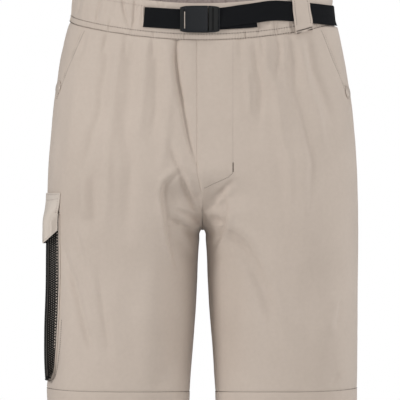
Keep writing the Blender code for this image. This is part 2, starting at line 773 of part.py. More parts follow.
garment = bpy.data.collections.new("hiking_shorts")
cutters = bpy.data.collections.new("cutters")
bpy.context.scene.collection.children.link(garment)
bpy.context.scene.collection.children.link(cutters)
waist = bpy.data.objects.new("waist", None)
garment.objects.link(waist)

for half, wearer in ((1, "left"), (-1, "right")):
    cloth_wall(f"front_{wearer}", half, panel_rows(), front_edges(half), PANEL_COLUMNS)
    cloth_wall(f"back_{wearer}", half, panel_rows(), back_edges, PANEL_COLUMNS)
    cloth_wall(f"hip_{wearer}", half, HIP_ROWS, hip_edges, HIP_COLUMNS)
make_band()
make_belt()
make_loop()
make_buckle()
for name, (half, z, x) in SNAP_PLACES.items():
    make_snap(name, half, z, x)
make_cargo_face()
make_cargo_gusset()
make_cargo_flap()
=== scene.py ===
# %% [markdown]
# Hiking shorts, filled out as if worn
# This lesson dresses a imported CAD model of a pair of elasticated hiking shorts. The CAD solids give the true
# form. Here each one gets a finer piece in its place: thin cloth with its creases and seams, stitches that
# stand on the cloth, woven webbing, a moulded buckle and a pocket of knitted net.

# %% Load the model
import itertools
import math

import bmesh
import bpy
import numpy as np
from mathutils import Matrix, Vector


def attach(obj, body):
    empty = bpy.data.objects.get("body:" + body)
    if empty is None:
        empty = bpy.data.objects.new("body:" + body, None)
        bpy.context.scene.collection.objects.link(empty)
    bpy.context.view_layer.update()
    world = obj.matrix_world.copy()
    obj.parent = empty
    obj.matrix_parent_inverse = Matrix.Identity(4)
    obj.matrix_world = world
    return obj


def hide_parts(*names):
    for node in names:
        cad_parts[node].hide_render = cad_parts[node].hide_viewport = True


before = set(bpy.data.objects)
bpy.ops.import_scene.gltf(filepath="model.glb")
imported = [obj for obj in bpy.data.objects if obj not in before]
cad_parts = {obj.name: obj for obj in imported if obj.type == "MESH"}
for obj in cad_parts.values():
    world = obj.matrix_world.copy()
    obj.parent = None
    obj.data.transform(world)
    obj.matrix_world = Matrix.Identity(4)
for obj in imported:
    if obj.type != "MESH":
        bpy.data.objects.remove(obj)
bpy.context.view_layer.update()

MM = 0.001

# %% [markdown]
# The camera stands level, straight in front and far away, as for a catalogue picture taken with a long lens.
# At that distance near and far parts of the shorts come out at one scale.

# %% Camera
CAMERA_DISTANCE = 24.0
VIEW_WIDTH = 0.52
camera_data = bpy.data.cameras.new("camera")
camera_data.sensor_width = 36.0
camera_data.lens = 36.0 * CAMERA_DISTANCE / VIEW_WIDTH
camera = bpy.data.objects.new("camera", camera_data)
camera.location = (-0.00325, -CAMERA_DISTANCE, -0.2327)
camera.rotation_euler = (math.pi / 2, 0.0, 0.0)
bpy.context.scene.collection.objects.link(camera)
bpy.context.scene.camera = camera
print("lens:", round(camera_data.lens), "mm")

# %% [markdown]
# Soft studio light comes from three panels in front, one above and one beside the wearer's left leg, with a
# white room around them. They differ in strength, so that folds get a light side and a shaded side.


# %% Lights, room and floor
def add_panel(name, place, aim, size, power):
    """A square area light at a place, turned towards a point."""
    data = bpy.data.lights.new(name, "AREA")
    data.shape = "SQUARE"
    data.size = size
    data.energy = power
    light = bpy.data.objects.new(name, data)
    light.location = place
    light.rotation_euler = (Vector(aim) - Vector(place)).to_track_quat("-Z", "Y").to_euler()
    bpy.context.scene.collection.objects.link(light)
    return light


add_panel("key_panel", (-2.0, -1.3, 0.5), (0.0, 0.0, -0.2), 0.7, 28.0)
add_panel("fill_panel", (2.2, -1.0, 0.6), (0.0, 0.0, -0.2), 1.0, 17.2)
add_panel("front_panel", (0.5, -2.6, 0.3), (0.0, 0.0, -0.25), 1.2, 12.0)
add_panel("top_panel", (0.1, -0.8, 2.0), (0.0, 0.0, -0.3), 0.7, 7.5)
add_panel("edge_panel", (2.4, 0.5, -0.1), (0.1, 0.0, -0.25), 0.8, 9.0)

room = bpy.data.worlds.new("white_room")
bpy.context.scene.world = room
room.use_nodes = True
room_nodes, room_links = room.node_tree.nodes, room.node_tree.links
room_nodes["Background"].inputs["Color"].default_value = (1.0, 1.0, 1.0, 1.0)
room_nodes["Background"].inputs["Strength"].default_value = 0.3
seen = room_nodes.new("ShaderNodeBackground")
seen.inputs["Color"].default_value = (1.0, 1.0, 1.0, 1.0)
seen.inputs["Strength"].default_value = 1.0
path = room_nodes.new("ShaderNodeLightPath")
mixer = room_nodes.new("ShaderNodeMixShader")
room_links.new(path.outputs["Is Camera Ray"], mixer.inputs["Fac"])
room_links.new(room_nodes["Background"].outputs[0], mixer.inputs[1])
room_links.new(seen.outputs[0], mixer.inputs[2])
room_links.new(mixer.outputs[0], room_nodes["World Output"].inputs["Surface"])
bpy.context.scene.view_settings.view_transform = "Standard"

bpy.ops.object.select_all(action="DESELECT")
bpy.ops.mesh.primitive_circle_add(vertices=96, radius=3.0, fill_type="NGON", location=(0.0, 0.0, -0.95))
floor = bpy.context.object
floor.name = "studio_floor"
floor_look = bpy.data.materials.new("pale_floor")
floor_look.use_nodes = True
floor_look.node_tree.nodes["Principled BSDF"].inputs["Base Color"].default_value = (0.86, 0.86, 0.86, 1.0)
floor_look.node_tree.nodes["Principled BSDF"].inputs["Roughness"].default_value = 0.9
floor.data.materials.append(floor_look)
print("five light panels, a white room and a floor")

# %% [markdown]
# The cloth follows one pattern. Level plan curves give the garment's form, and a place on the cloth is a
# height and a share: 0 at the outermost point of the side, 1 at the centre front or the inside of the leg,
# and -1 the same behind. The numbers are the CAD model's own, so the fine cloth lies exactly on its solids.

# %% Pattern tables, in millimetres
WAIST_SIDE_Z = -0.7
WAIST_FALL, WAIST_CLIMB = 25.2, 14.7
LEVEL_Z = -130.0
TURN_Z = -190.0
CROTCH_Z = -269.0
SOFT_END_Z = -312.0
CROTCH_Y = 12.0
HEM_STITCH_Z = -481.0
HEM_EDGE_Z = -499.0
CENTRE_SHIFT = 7.0
SHIFT_END_Z = -240.0
SQUARENESS = 2.25
BAND_HEIGHT = 48.0
BAND_PROUD = 0.5


def table(names, *rows):
    """Columns by name, sorted by the first."""
    return dict(zip(names.split(", "), np.array(sorted(rows), float).T))


SECTIONS = table(
    "height, side, crown, front, back",
    (62, 165.3, 0, 94.2, 100.6),
    (43, 166.2, 0, 95.4, 102),
    (20, 168.0, 0, 97.2, 104),
    (6, 169.8, 0, 98.4, 105.6),
    (-5, 173.9, 0, 99.5, 107),
    (-18, 178.4, 4, 100.8, 109.4),
    (-31, 181.2, 8, 102, 112),
    (-57, 186.2, 17, 104.5, 118),
    (-80, 189.4, 27, 106.5, 122),
    (-103, 193.0, 37, 108, 125),
    (-148, 197.6, 56, 109, 126),
    (-190, 200.3, 73, 108, 121),
    (-230, 201.6, 87, 105.5, 113),
    (-269, 202.1, 97, 101, 105),
    (-337, 202.3, 102, 94, 98),
    (-420, 202.0, 106, 87.5, 92),
    (-499, 201.0, 109, 82.5, 87.5),
)
INNER_LEG = table(
    "height, gap, depth, forward",
    (-269, 0.2, 12.0, 0.0),
    (-273, 3.2, 11.8, 4.0),
    (-285, 4.6, 11.0, 9.0),
    (-337, 7.4, 8.5, 14.0),
    (-404, 11.4, 5.0, 20.0),
    (-441, 13.8, 3.0, 25.0),
    (-499, 17.2, 0.0, 31.0),
)
POCKET_LINE = table(
    "height, side seam, mouth",
    (0, 2.0, 60.0),
    (-48, 10.0, 50.0),
    (-88, 19.0, 33.5),
    (-100, 21.5, 27.0),
    (-112, 24.0, 24.0),
    (-160, 25.0, 25.0),
    (-300, 18.0, 18.0),
    (-499, 10.0, 10.0),
)


# %% Pattern curves
def ease(share):
    """A share from 0 to 1 that starts and ends gently."""
    share = np.clip(share, 0.0, 1.0)
    return share * share * (3.0 - 2.0 * share)


def smooth(rows, column, at):
    """A column's value on a smooth curve through the table's rows."""
    keys, values = next(iter(rows.values())), rows[column]
    slopes = np.gradient(values, keys)
    at = min(max(at, keys[0]), keys[-1])
    i = min(max(int(np.searchsorted(keys, at)) - 1, 0), len(keys) - 2)
    step = keys[i + 1] - keys[i]
    t = (at - keys[i]) / step
    start = (2 * t**3 - 3 * t**2 + 1) * values[i] + (t**3 - 2 * t**2 + t) * step * slopes[i]
    end = (3 * t**2 - 2 * t**3) * values[i + 1] + (t**3 - t**2) * step * slopes[i + 1]
    return start + end


def smooth_line(rows, column, places):
    """The smooth curve's values at several places."""
    return np.array([smooth(rows, column, float(place)) for place in places])


def straight(rows, column, at):
    """A column's value on straight lines between the table's rows."""
    return np.interp(at, next(iter(rows.values())), rows[column])


def alike(*values):
    """The values as arrays of numbers, all of one shape."""
    return np.broadcast_arrays(*(np.asarray(value, float) for value in values))


def rise_depth(z, depth):
    """Depth of the centre seam, which runs under from the front or the seat to the crotch."""
    if z >= TURN_Z:
        return depth
    if z <= CROTCH_Z:
        return smooth(INNER_LEG, "depth", z)
    turn = math.asin((TURN_Z - z) / (TURN_Z - CROTCH_Z))
    return CROTCH_Y + (depth - CROTCH_Y) * math.cos(turn)


def soft_depth(z, depth):
    """Depth that the inside of the leg draws the cloth beside it to. It changes slowly past the crotch."""
    return depth + (smooth(INNER_LEG, "depth", z) - depth) * ease((TURN_Z - z) / (TURN_Z - SOFT_END_Z))


def quarters(side, crown, depth, inner_x, inner_y, soft_y):
    """Plan points from the side round the leg's crown to the inside, and their length on the soft course."""
    turn = np.linspace(0.0, math.pi / 2, 49)
    power = 2.0 / SQUARENESS
    outward = np.cos(turn).clip(0.0) ** power
    onward = np.sin(turn).clip(0.0) ** power
    share = turn / turn[-1]
    tube = ease((depth - soft_y) / (0.62 * depth))
    saddle_x = crown + (inner_x - crown) * share
    tube_x = crown + (inner_x - crown) * onward
    x = np.concatenate([crown + (side - crown) * outward, (saddle_x + (tube_x - saddle_x) * tube)[1:]])
    courses = []
    for end_y in (soft_y + (inner_y - soft_y) * share**5, soft_y):
        saddle_y = depth + (end_y - depth) * ease(share)
        tube_y = end_y + (depth - end_y) * outward
        courses.append(np.concatenate([depth * onward, (saddle_y + (tube_y - saddle_y) * tube)[1:]]))
    length = np.concatenate([[0.0], np.cumsum(np.hypot(np.diff(x), np.diff(courses[1])))])
    return x, courses[0], length


def half_section(z):
    """x, y and the length round the cloth, from the inside or centre at the back to the same in front."""
    side, crown, front, back = (smooth(SECTIONS, name, z) for name in ("side", "crown", "front", "back"))
    inner_x = smooth(INNER_LEG, "gap", z) if z < CROTCH_Z else 0.0
    (front_x, front_y, run), (back_x, back_y, back_run) = (
        quarters(side, crown, depth, inner_x, rise_depth(z, depth), soft_depth(z, depth))
        for depth in (-front, back)
    )
    x = np.concatenate([back_x[::-1], front_x[1:]])
    y = np.concatenate([back_y[::-1], front_y[1:]])
    return x, y, np.concatenate([-back_run[::-1], run[1:]])


def level_curve(z, shares):
    """Plan points at a height. Past either end they run on to the other half, or round the leg."""
    x, y, length = half_section(z)
    at = shares * np.where(shares > 0, length[-1], -length[0])
    flip = np.ones_like(shares)
    past, before = at > length[-1], at < length[0]
    if z > CROTCH_Z:
        at = np.where(past, 2 * length[-1] - at, np.where(before, 2 * length[0] - at, at))
        flip[past | before] = -1.0
    else:
        at = np.where(past, length[0] + at - length[-1], np.where(before, length[-1] + at - length[0], at))
    px = flip * np.interp(at, length, x)
    if z < SHIFT_END_Z:
        px = np.maximum(px, 0.15)
    return px, np.interp(at, length, y), length[-1], -length[0]


# %% [markdown]
# The curves are worked out once on a fine chart of heights and shares. After that, thousands of places on
# the cloth are read from the chart at once, which keeps the script quick.

# %% Chart of the form
CHART_STEP = 0.5
CHART_HEIGHTS = np.arange(-499.5, 64.0, CHART_STEP)
CHART_SHARES = np.linspace(-1.25, 1.25, 1001)
levels = [level_curve(float(z), CHART_SHARES) for z in CHART_HEIGHTS]
CHART = np.empty((len(CHART_HEIGHTS), len(CHART_SHARES), 3))
CHART[:, :, 0] = [level[0] for level in levels]
CHART[:, :, 1] = [level[1] for level in levels]
CHART[:, :, 2] = CHART_HEIGHTS[:, None]
FRONT_SPAN = np.array([level[2] for level in levels])
BACK_SPAN = np.array([level[3] for level in levels])
CHART_NORMALS = np.cross(np.gradient(CHART, axis=1), -np.gradient(CHART, axis=0))
CHART_NORMALS /= np.maximum(np.linalg.norm(CHART_NORMALS, axis=2, keepdims=True), 1e-9)


def span(z, forward=True):
    """Length of cloth from the side to the centre or the inside of the leg."""
    return np.interp(z, CHART_HEIGHTS, FRONT_SPAN if forward else BACK_SPAN)


def look_up(chart, z, share):
    """Values of a chart at places between its own, mixed from the four around each."""
    row = np.clip((np.asarray(z) - CHART_HEIGHTS[0]) / CHART_STEP, 0, len(CHART_HEIGHTS) - 1.001)
    column = np.clip((np.asarray(share) + 1.25) / 2.5 * (len(CHART_SHARES) - 1), 0, len(CHART_SHARES) - 1.001)
    r, c = row.astype(int), column.astype(int)
    down, across = (row - r)[..., None], (column - c)[..., None]
    top = chart[r, c] * (1 - across) + chart[r, c + 1] * across
    bottom = chart[r + 1, c] * (1 - across) + chart[r + 1, c + 1] * across
    return top * (1 - down) + bottom * down


def share_of_x(z, x):
    """The share, on the front, of the place at a distance x from the middle."""
    front = CHART_SHARES >= 0
    return float(np.interp(-x, -look_up(CHART, z, CHART_SHARES[front])[:, 0], CHART_SHARES[front]))


def seam_height(share):
    """Height of the waist seam, which falls to the front and climbs to the back."""
    swing = np.sin(np.minimum(np.abs(share), 1.0) * math.pi / 2) ** 1.3
    return WAIST_SIDE_Z + swing * np.where(np.asarray(share) < 0, WAIST_CLIMB, -WAIST_FALL)


def row_height(base, share):
    """Rows follow the waist seam at the top and lie level from LEVEL_Z down."""
    seam = seam_height(share)
    return np.where(base <= LEVEL_Z, base, seam + (base / LEVEL_Z) * (LEVEL_Z - seam))


print("chart of", CHART.shape[0], "heights and", CHART.shape[1], "shares")

# %% [markdown]
# Light nylon shows every pull. The creases are listed one by one: each is a line in the front or back view
# with a half width and a height, over 0 for a ridge and under 0 for a furrow. Sharp pulls run from the fly and
# the crotch, soft folds fall from the gathered waist, and a slow seeded unevenness keeps the plain parts
# alive.

# %% Creases, in millimetres
# Columns: half width, height, then the points of the line, x and z in turn
FRONT_CREASES = (
    (3.2, -0.8, -99, -18, -101, -44),
    (3.0, -0.9, -124, -18, -130, -40),
    (3.0, -1.0, -64, -23, -66, -46),
    (3.4, -0.9, -152, -16, -158, -44),
    (10, 1.5, -158, -60, -164, -116, -172, -181),
    (6.5, -1.5, -123, -28, -125.5, -64, -130.7, -90, -132, -116, -143, -148, -150, -181),
    (6.5, 1.5, -107, -28, -111, -64, -115, -90, -116, -116, -120, -148, -123, -181, -124.5, -252),
    (8.5, -1.5, -89, -28, -95.5, -64, -96, -90, -99.5, -116, -101, -148, -94, -190, -97, -252),
    (6, 1.5, -73.5, -34, -76, -90, -79, -116, -81, -142),
    (5.5, -1.4, -60.5, -38, -60.5, -116, -64, -142),
    (6.5, 1.3, -45, -44, -42, -90, -45, -129, -51, -181),
    (6, 1.3, -155, -205, -154, -252),
    (6, -1.3, -142, -200, -140, -262),
    (5, -1.6, -32, -20, -35, -38, -35, -51, -32, -77, -27, -103),
    (2.6, -1.5, -33, -28, -35, -51, -32, -77, -27, -103, -24.8, -118, -17, -156, -8.5, -185),
    (5, 0.7, -40, -45, -38, -80, -33, -105, -27, -140),
    (7, -1.2, -27, -100, -20, -140, -9, -186),
    (10, 0.9, -16, -24, -15, -90),
    (4, -0.8, 49, -24, 50, -50),
    (4.5, 1.3, 58, -70, 61, -116),
    (5, -1.6, 68, -36, 72, -70, 76, -90, 75, -122),
    (6.5, 1.6, 80, -30, 82.5, -64, 95.5, -90, 98, -116, 102, -148, 111, -181, 114, -232),
    (3.2, -1.1, 96, -20, 99.5, -44, 95, -68),
    (3.4, 0.7, 106, -22, 107, -60),
    (6, -1.6, 113, -24, 117.6, -64, 118.6, -90, 127, -116, 134.6, -148, 142, -181, 140, -232),
    (6, 1.6, 128, -38, 132, -64, 137, -90, 147.5, -116, 155, -152),
    (6, -1.5, 137, -26, 143.6, -64, 154, -90, 166, -122),
    (3.0, -1.0, 76, -20, 79, -46),
    (6, -0.8, -42, -168, -25, -205, -14, -234),
    (2.8, -0.7, -41, -168, -25, -205, -13, -232),
    (5, 1.0, -32, -166, -19, -200, -12, -228),
    (3.2, -1.3, -26, -210, -17, -228, -8, -246),
    (5, 0.9, -18, -206, -10, -226),
    (5, 1.3, -44, -200, -53, -208, -56, -222, -54.5, -240, -51.5, -257, -47, -286, -40, -312),
    (12, -2.1, -38, -224, -40, -240, -37, -262, -30, -300),
    (3.4, -1.8, -40, -206, -47, -212, -49.5, -222, -48, -240, -45, -257, -40.5, -286, -34, -312),
    (3.0, -1.5, -30, -247, -16, -251, -3, -257),
    (4.2, 1.2, -26, -257, -12, -262, -5, -268),
    (3.2, -1.4, -38, -262, -26, -267, -13, -275),
    (5, 0.9, -30, -276, -20, -284, -12, -300),
    (3.6, -1.4, 39, -210, 27, -220, 13, -233),
    (5, 1.1, 36, -219, 26, -229, 14, -240),
    (3.0, -1.0, 30, -222, 20, -232, 10, -243),
    (5, 1.2, 36, -228, 38, -248, 33, -272, 22, -294),
    (8, -2.0, 17, -238, 19, -252, 15, -268),
    (13, -1.3, -40, -262, -20, -264, 24, -262),
    (3.0, -1.6, 27, -230, 30.5, -246, 27, -264, 17, -290),
    (3.4, -1.2, 5, -243, 9, -252, 9, -262),
    (3.2, -1.2, 25, -262, 16, -262, 8, -259),
    (10, 1.9, 40, -264, 62, -281, 80, -310, 94, -345, 105, -388),
    (8, -1.8, 30, -282, 50, -296, 64, -320, 77, -349, 89, -390),
    (3.4, -0.6, 34, -273, 54, -286, 70, -313, 83.5, -344.5, 95, -387),
    (8, -1.8, -169, -330, -154, -397, -145, -427),
    (3.5, -0.8, -169, -337, -154, -397, -145, -424),
    (9, -1.5, -135, -335, -129, -381, -123, -425),
    (3.5, -0.7, -135, -337, -129, -381, -123, -421),
    (10, 1.4, -154, -275, -137, -352),
    (4, -0.8, -161, -278, -144, -350),
    (4, -0.8, -179, -300, -168, -350),
    (10, -1.4, -33, -438, -58, -474),
    (10, 1.2, 172, -360, 166, -402),
    (4, -0.9, 179, -366, 174, -398),
    (4, -0.8, 176, -460, 167, -472),
    (14, -1.4, 40, -300, 36, -440),
    (14, -1.2, -38, -320, -34, -430),
    (16, 1.0, 130, -180, 140, -300),
    (14, -0.9, 100, -150, 112, -260),
    (16, -0.9, -90, -150, -98, -270),
    (15, 0.9, -70, -330, -72, -450),
    (12, -0.8, -95, -360, -90, -455),
    (13, -0.8, 140, -330, 132, -440),
)
BACK_CREASES = (
    (9, -1.6, -140, -2, -146, -66),
    (9, 1.3, -112, 4, -116, -70),
    (8, -1.5, -88, 8, -90, -62),
    (9, 1.2, -58, 10, -62, -72),
    (8, -1.5, -32, 12, -33, -60),
    (8, 1.1, -8, 13, -10, -66),
    (8, -1.4, 22, 12, 22, -64),
    (9, 1.2, 48, 10, 52, -70),
    (8, -1.6, 80, 8, 84, -62),
    (9, 1.3, 108, 4, 112, -70),
    (9, -1.5, 138, 0, 145, -64),
    (12, -2.2, -52, -170, -30, -208, -16, -240),
    (4, -1.0, -46, -176, -28, -210, -16, -238),
    (12, -2.2, 50, -165, 30, -204, 15, -238),
    (4, -1.0, 44, -172, 28, -205, 15, -236),
    (14, -1.6, -120, -205, -88, -238, -60, -262),
    (4, -0.8, -116, -208, -86, -240, -58, -264),
    (14, -1.6, 118, -210, 86, -242, 58, -266),
    (4, -0.8, 114, -213, 84, -244, 57, -268),
    (12, 1.8, -150, -300, -128, -420),
    (12, -1.6, -96, -300, -88, -430),
    (12, 1.7, 146, -310, 130, -425),
    (12, -1.5, 92, -305, 86, -430),
    (13, 1.3, -46, -320, -42, -440),
    (13, 1.3, 45, -318, 41, -436),
    (15, 1.0, -110, -90, -125, -180),
    (15, 1.0, 112, -95, 124, -185),
    (4, -0.8, -132, -330, -118, -420),
    (4, -0.8, 128, -335, 114, -425),
)
SIDE_FADE = 45.0
INNER_FADE = 18.0
CREASE_GAIN = 2.0
PUFF = 0.5
POCKET_PRESS = 2.8


def to_line(x, z, points):
    """Distance from places to a line of points, and how far along the line each place lies, 0 to 1 on it."""
    ends = np.array(points, float).reshape(-1, 2)
    runs = np.diff(ends, axis=0)
    lengths = np.hypot(runs[:, 0], runs[:, 1])
    starts = np.concatenate([[0.0], np.cumsum(lengths)])
    nearest = np.full(np.shape(x), 1e9)
    along = np.zeros(np.shape(x))
    for index, (end, run, length) in enumerate(zip(ends, runs, lengths)):
        share = ((x - end[0]) * run[0] + (z - end[1]) * run[1]) / length**2
        low = -9.0 if index == 0 else 0.0
        high = 9.0 if index == len(runs) - 1 else 1.0
        share = np.clip(share, low, high)
        distance = np.hypot(x - end[0] - share * run[0], z - end[1] - share * run[1])
        closer = distance < nearest
        nearest = np.where(closer, distance, nearest)
        along = np.where(closer, (starts[index] + share * length) / starts[-1], along)
    return nearest, along


def crease_height(rows, x, z, gain=CREASE_GAIN):
    """Height of all creases of a table at places in the front or back view."""
    total = np.zeros(np.shape(x))
    for width, height, *points in rows:
        distance, along = to_line(x, z, points)
        fade = ease((along + 0.25) / 0.4) * ease((1.25 - along) / 0.45)
        total += height * np.exp(-((distance / width) ** 2)) * fade
    return total * gain


def drift(points, sizes, seed):
    """Slow seeded unevenness at points, between about -1 and 1. Sizes are how far apart its hills lie."""
    lattice = np.random.default_rng(seed).uniform(-1.0, 1.0, (64, 64, 64))
    at = np.asarray(points) / np.asarray(sizes, float) + 32.0
    base = np.floor(at).astype(int)
    t = ease(at - base)
    total = np.zeros(at.shape[:-1])
    for corner in itertools.product((0, 1), repeat=3):
        weight = np.prod(np.where(corner, t, 1.0 - t), axis=-1)
        index = (base + corner) % 64
        total += weight * lattice[index[..., 0], index[..., 1], index[..., 2]]
    return total


def belt_press(half, z, share):
    """How far the belt presses the cloth in at the wearer's left side, more under the belt's lower edge."""
    near = ease((0.5 - np.abs(share)) / 0.35) * ease((z + 8.5) / 3.0) * (np.asarray(half) > 0)
    return near * (ease((26.0 - z) / 5.0) + 2.2 * ease((9.0 - z) / 12.0))


def relief(half, z, share, points):
    """How far creases and unevenness lift the cloth at places on a half, 1 at +X and -1 at -X."""
    forward = share > 0
    length = np.where(forward, span(z), span(z, False))
    around = np.abs(share) * length
    fade = ease(around / SIDE_FADE)
    inside = ease((1.0 - np.abs(share)) * length / INNER_FADE)
    below = ease((CROTCH_Z + 30.0 - z) / 30.0)
    fade = fade * (1.0 + (inside - 1.0) * below)
    x = half * points[..., 0]
    height = fade * np.where(forward, crease_height(FRONT_CREASES, x, z), crease_height(BACK_CREASES, x, z))
    spot = points * np.array((half, 1.0, 1.0))
    slow = 0.75 * drift(spot, (42, 60, 120), 3) + 0.34 * drift(spot, (17, 26, 46), 5)
    slow += 0.1 * drift(spot, (7, 9, 13), 7)
    gathers = np.exp(-((seam_height(share) - z).clip(0.0) / 26.0)) * drift(spot, (8, 14, 90), 11)
    height += slow * ease((z - HEM_EDGE_Z) / 40.0 + 0.45) + 0.75 * gathers
    drop = seam_height(share) - z
    height += PUFF * np.exp(-(((drop - 7.0) / 6.5) ** 2)) * (1.0 + 0.6 * drift(spot, (5, 9, 60), 13))
    height -= belt_press(half, z, share)
    if half < 0:
        reach = np.exp(-((around / 62.0) ** 2))
        height -= POCKET_PRESS * reach * ease((-225.0 - z) / 30.0) * ease((z + 478.0) / 30.0)
    return height


def cloth(half, z, share, lift=0.0):
    """Points on the outside of the cloth, lifted off it by a length, in millimetres."""
    z, share = alike(z, share)
    points = look_up(CHART, z, share)
    normals = look_up(CHART_NORMALS, z, share)
    points = points + normals * (np.asarray(lift) + relief(half, z, share, points))[..., None]
    kept = (share < 0) | (z < SHIFT_END_Z)
    points[..., 0] = np.where(kept, np.maximum(points[..., 0], 0.1), points[..., 0])
    return points * np.array((half, 1.0, 1.0))


print(len(FRONT_CREASES), "creases in front and", len(BACK_CREASES), "behind")

# %% [markdown]
# Every cloth piece is a thin closed shell between two grids of points, its outer and its inner face. A map of
# lengths over the cloth, in metres, goes with it, so that the weave keeps its real size and follows the form.


# %% Shells of cloth
def link_mesh(name, vertices, faces, uvs=None):
    """An object from vertices in millimetres, faces, and optional map places by vertex in metres."""
    mesh = bpy.data.meshes.new(name)
    mesh.from_pydata((np.asarray(vertices) * MM).tolist(), [], faces)
    if uvs is not None:
        layer = mesh.uv_layers.new(name="cloth_map")
        corners = np.empty(len(mesh.loops), dtype=np.int32)
        mesh.loops.foreach_get("vertex_index", corners)
        layer.data.foreach_set("uv", np.asarray(uvs)[corners].astype(np.float32).ravel())
    piece = bpy.data.objects.new(name, mesh)
    bpy.context.scene.collection.objects.link(piece)
    return piece


def grid_faces(rows, columns, start, ring, flip):
    """Four-sided faces of a grid of vertices that begins at a number."""
    across = columns if ring else columns - 1
    r, c = np.meshgrid(np.arange(rows - 1), np.arange(across), indexing="ij")
    beside = (c + 1) % columns
    upper, lower = r * columns, (r + 1) * columns
    quad = np.stack([upper + c, upper + beside, lower + beside, lower + c], -1)
    quad = quad.reshape(-1, 4) + start
    return quad[:, ::-1] if flip else quad


def close_up(piece, angle):
    """Turns a closed mesh's faces outwards and smooths it, apart from edges sharper than an angle."""
    bm = bmesh.new()
    bm.from_mesh(piece.data)
    bmesh.ops.recalc_face_normals(bm, faces=bm.faces[:])
    bm.to_mesh(piece.data)
    bm.free()
    piece.data.shade_smooth()
    piece.data.set_sharp_from_angle(angle=math.radians(angle))


def shell(name, outer, inner, uvs, ring=False, flip=False):
    """A closed shell between two grids. The map repeats on the inside."""
    outer, inner = np.asarray(outer), np.asarray(inner)
    rows, columns = outer.shape[:2]
    count = rows * columns
    faces = [grid_faces(rows, columns, 0, ring, flip), grid_faces(rows, columns, count, ring, not flip)]
    index = np.arange(count).reshape(rows, columns)
    loops = [(index[0], True), (index[-1], False)]
    if not ring:
        loops += [(index[:, 0], False), (index[:, -1], True)]
    for line, turned in loops:
        if ring:
            line = np.append(line, line[0])
        rim = np.stack([line[:-1], line[1:], line[1:] + count, line[:-1] + count], -1)
        faces.append(rim[:, ::-1] if turned != flip else rim)
    vertices = np.concatenate([outer.reshape(-1, 3), inner.reshape(-1, 3)])
    maps = np.concatenate([np.asarray(uvs).reshape(-1, 2)] * 2)
    piece = link_mesh(name, vertices, np.concatenate(faces).tolist(), maps)
    close_up(piece, 55)
    return piece


def flat_area(points):
    """Area of a grid of points in square metres, as cut flat."""
    points = np.asarray(points) * MM
    across, down = np.diff(points, axis=1)[:-1], np.diff(points, axis=0)[:, :-1]
    return float(np.linalg.norm(np.cross(across, down), axis=2).sum())


# %% [markdown]
# The four leg panels are cut as on the real pattern: two fronts that end at the slant pocket mouths, and two
# backs that come round the side to meet them. Their sewn edges turn in, so a seam reads as a fine groove, and
# the cloth puckers a little beside it. The hem is turned up: the cloth is double there and swells slightly.

# %% Leg panels
PANEL_WALL = 0.8
HEM_WALL = 1.9
EDGE_STEPS = np.array((0.0, 0.5, 1.2, 2.4))


def front_edges(half, base):
    """First and last length round the cloth of a front panel's row."""
    length = span(base)
    first = straight(POCKET_LINE, "mouth", base)
    shift = half * CENTRE_SHIFT * ease((base - SHIFT_END_Z) / (TURN_Z - SHIFT_END_Z))
    forward = smooth_line(INNER_LEG, "forward", base)
    return first, np.where(base >= CROTCH_Z, length + shift, length - forward)


def back_edges(half, base):
    """The same behind, where lengths are under 0."""
    first = straight(POCKET_LINE, "side seam", base)
    length = span(base, False)
    forward = smooth_line(INNER_LEG, "forward", base)
    return first, np.where(base >= CROTCH_Z, -length, -length - forward)


def panel_rows(pitch):
    """Base heights of a panel's rows, closer round the crotch and at the hem stitching."""
    rows = [0.0, -0.6, -1.4]
    rows += list(np.arange(-2.8, CROTCH_Z + 4, -pitch))
    rows += [CROTCH_Z + 2.0, CROTCH_Z, CROTCH_Z - 0.5, CROTCH_Z - 2.0, CROTCH_Z - 4.0]
    rows += list(np.arange(CROTCH_Z - 4.0 - pitch, -473.0, -pitch))
    rows += list(np.arange(-474.0, -485.0, -0.9))
    rows += list(np.arange(-486.5, HEM_EDGE_Z + 1.2, -2.2)) + [HEM_EDGE_Z + 0.7, HEM_EDGE_Z]
    return np.array(rows)


def hem_height(share):
    """The hem's stitching climbs a little at the sides."""
    return HEM_STITCH_Z - 0.4 + 4.8 * np.exp(-((share / 0.24) ** 2))


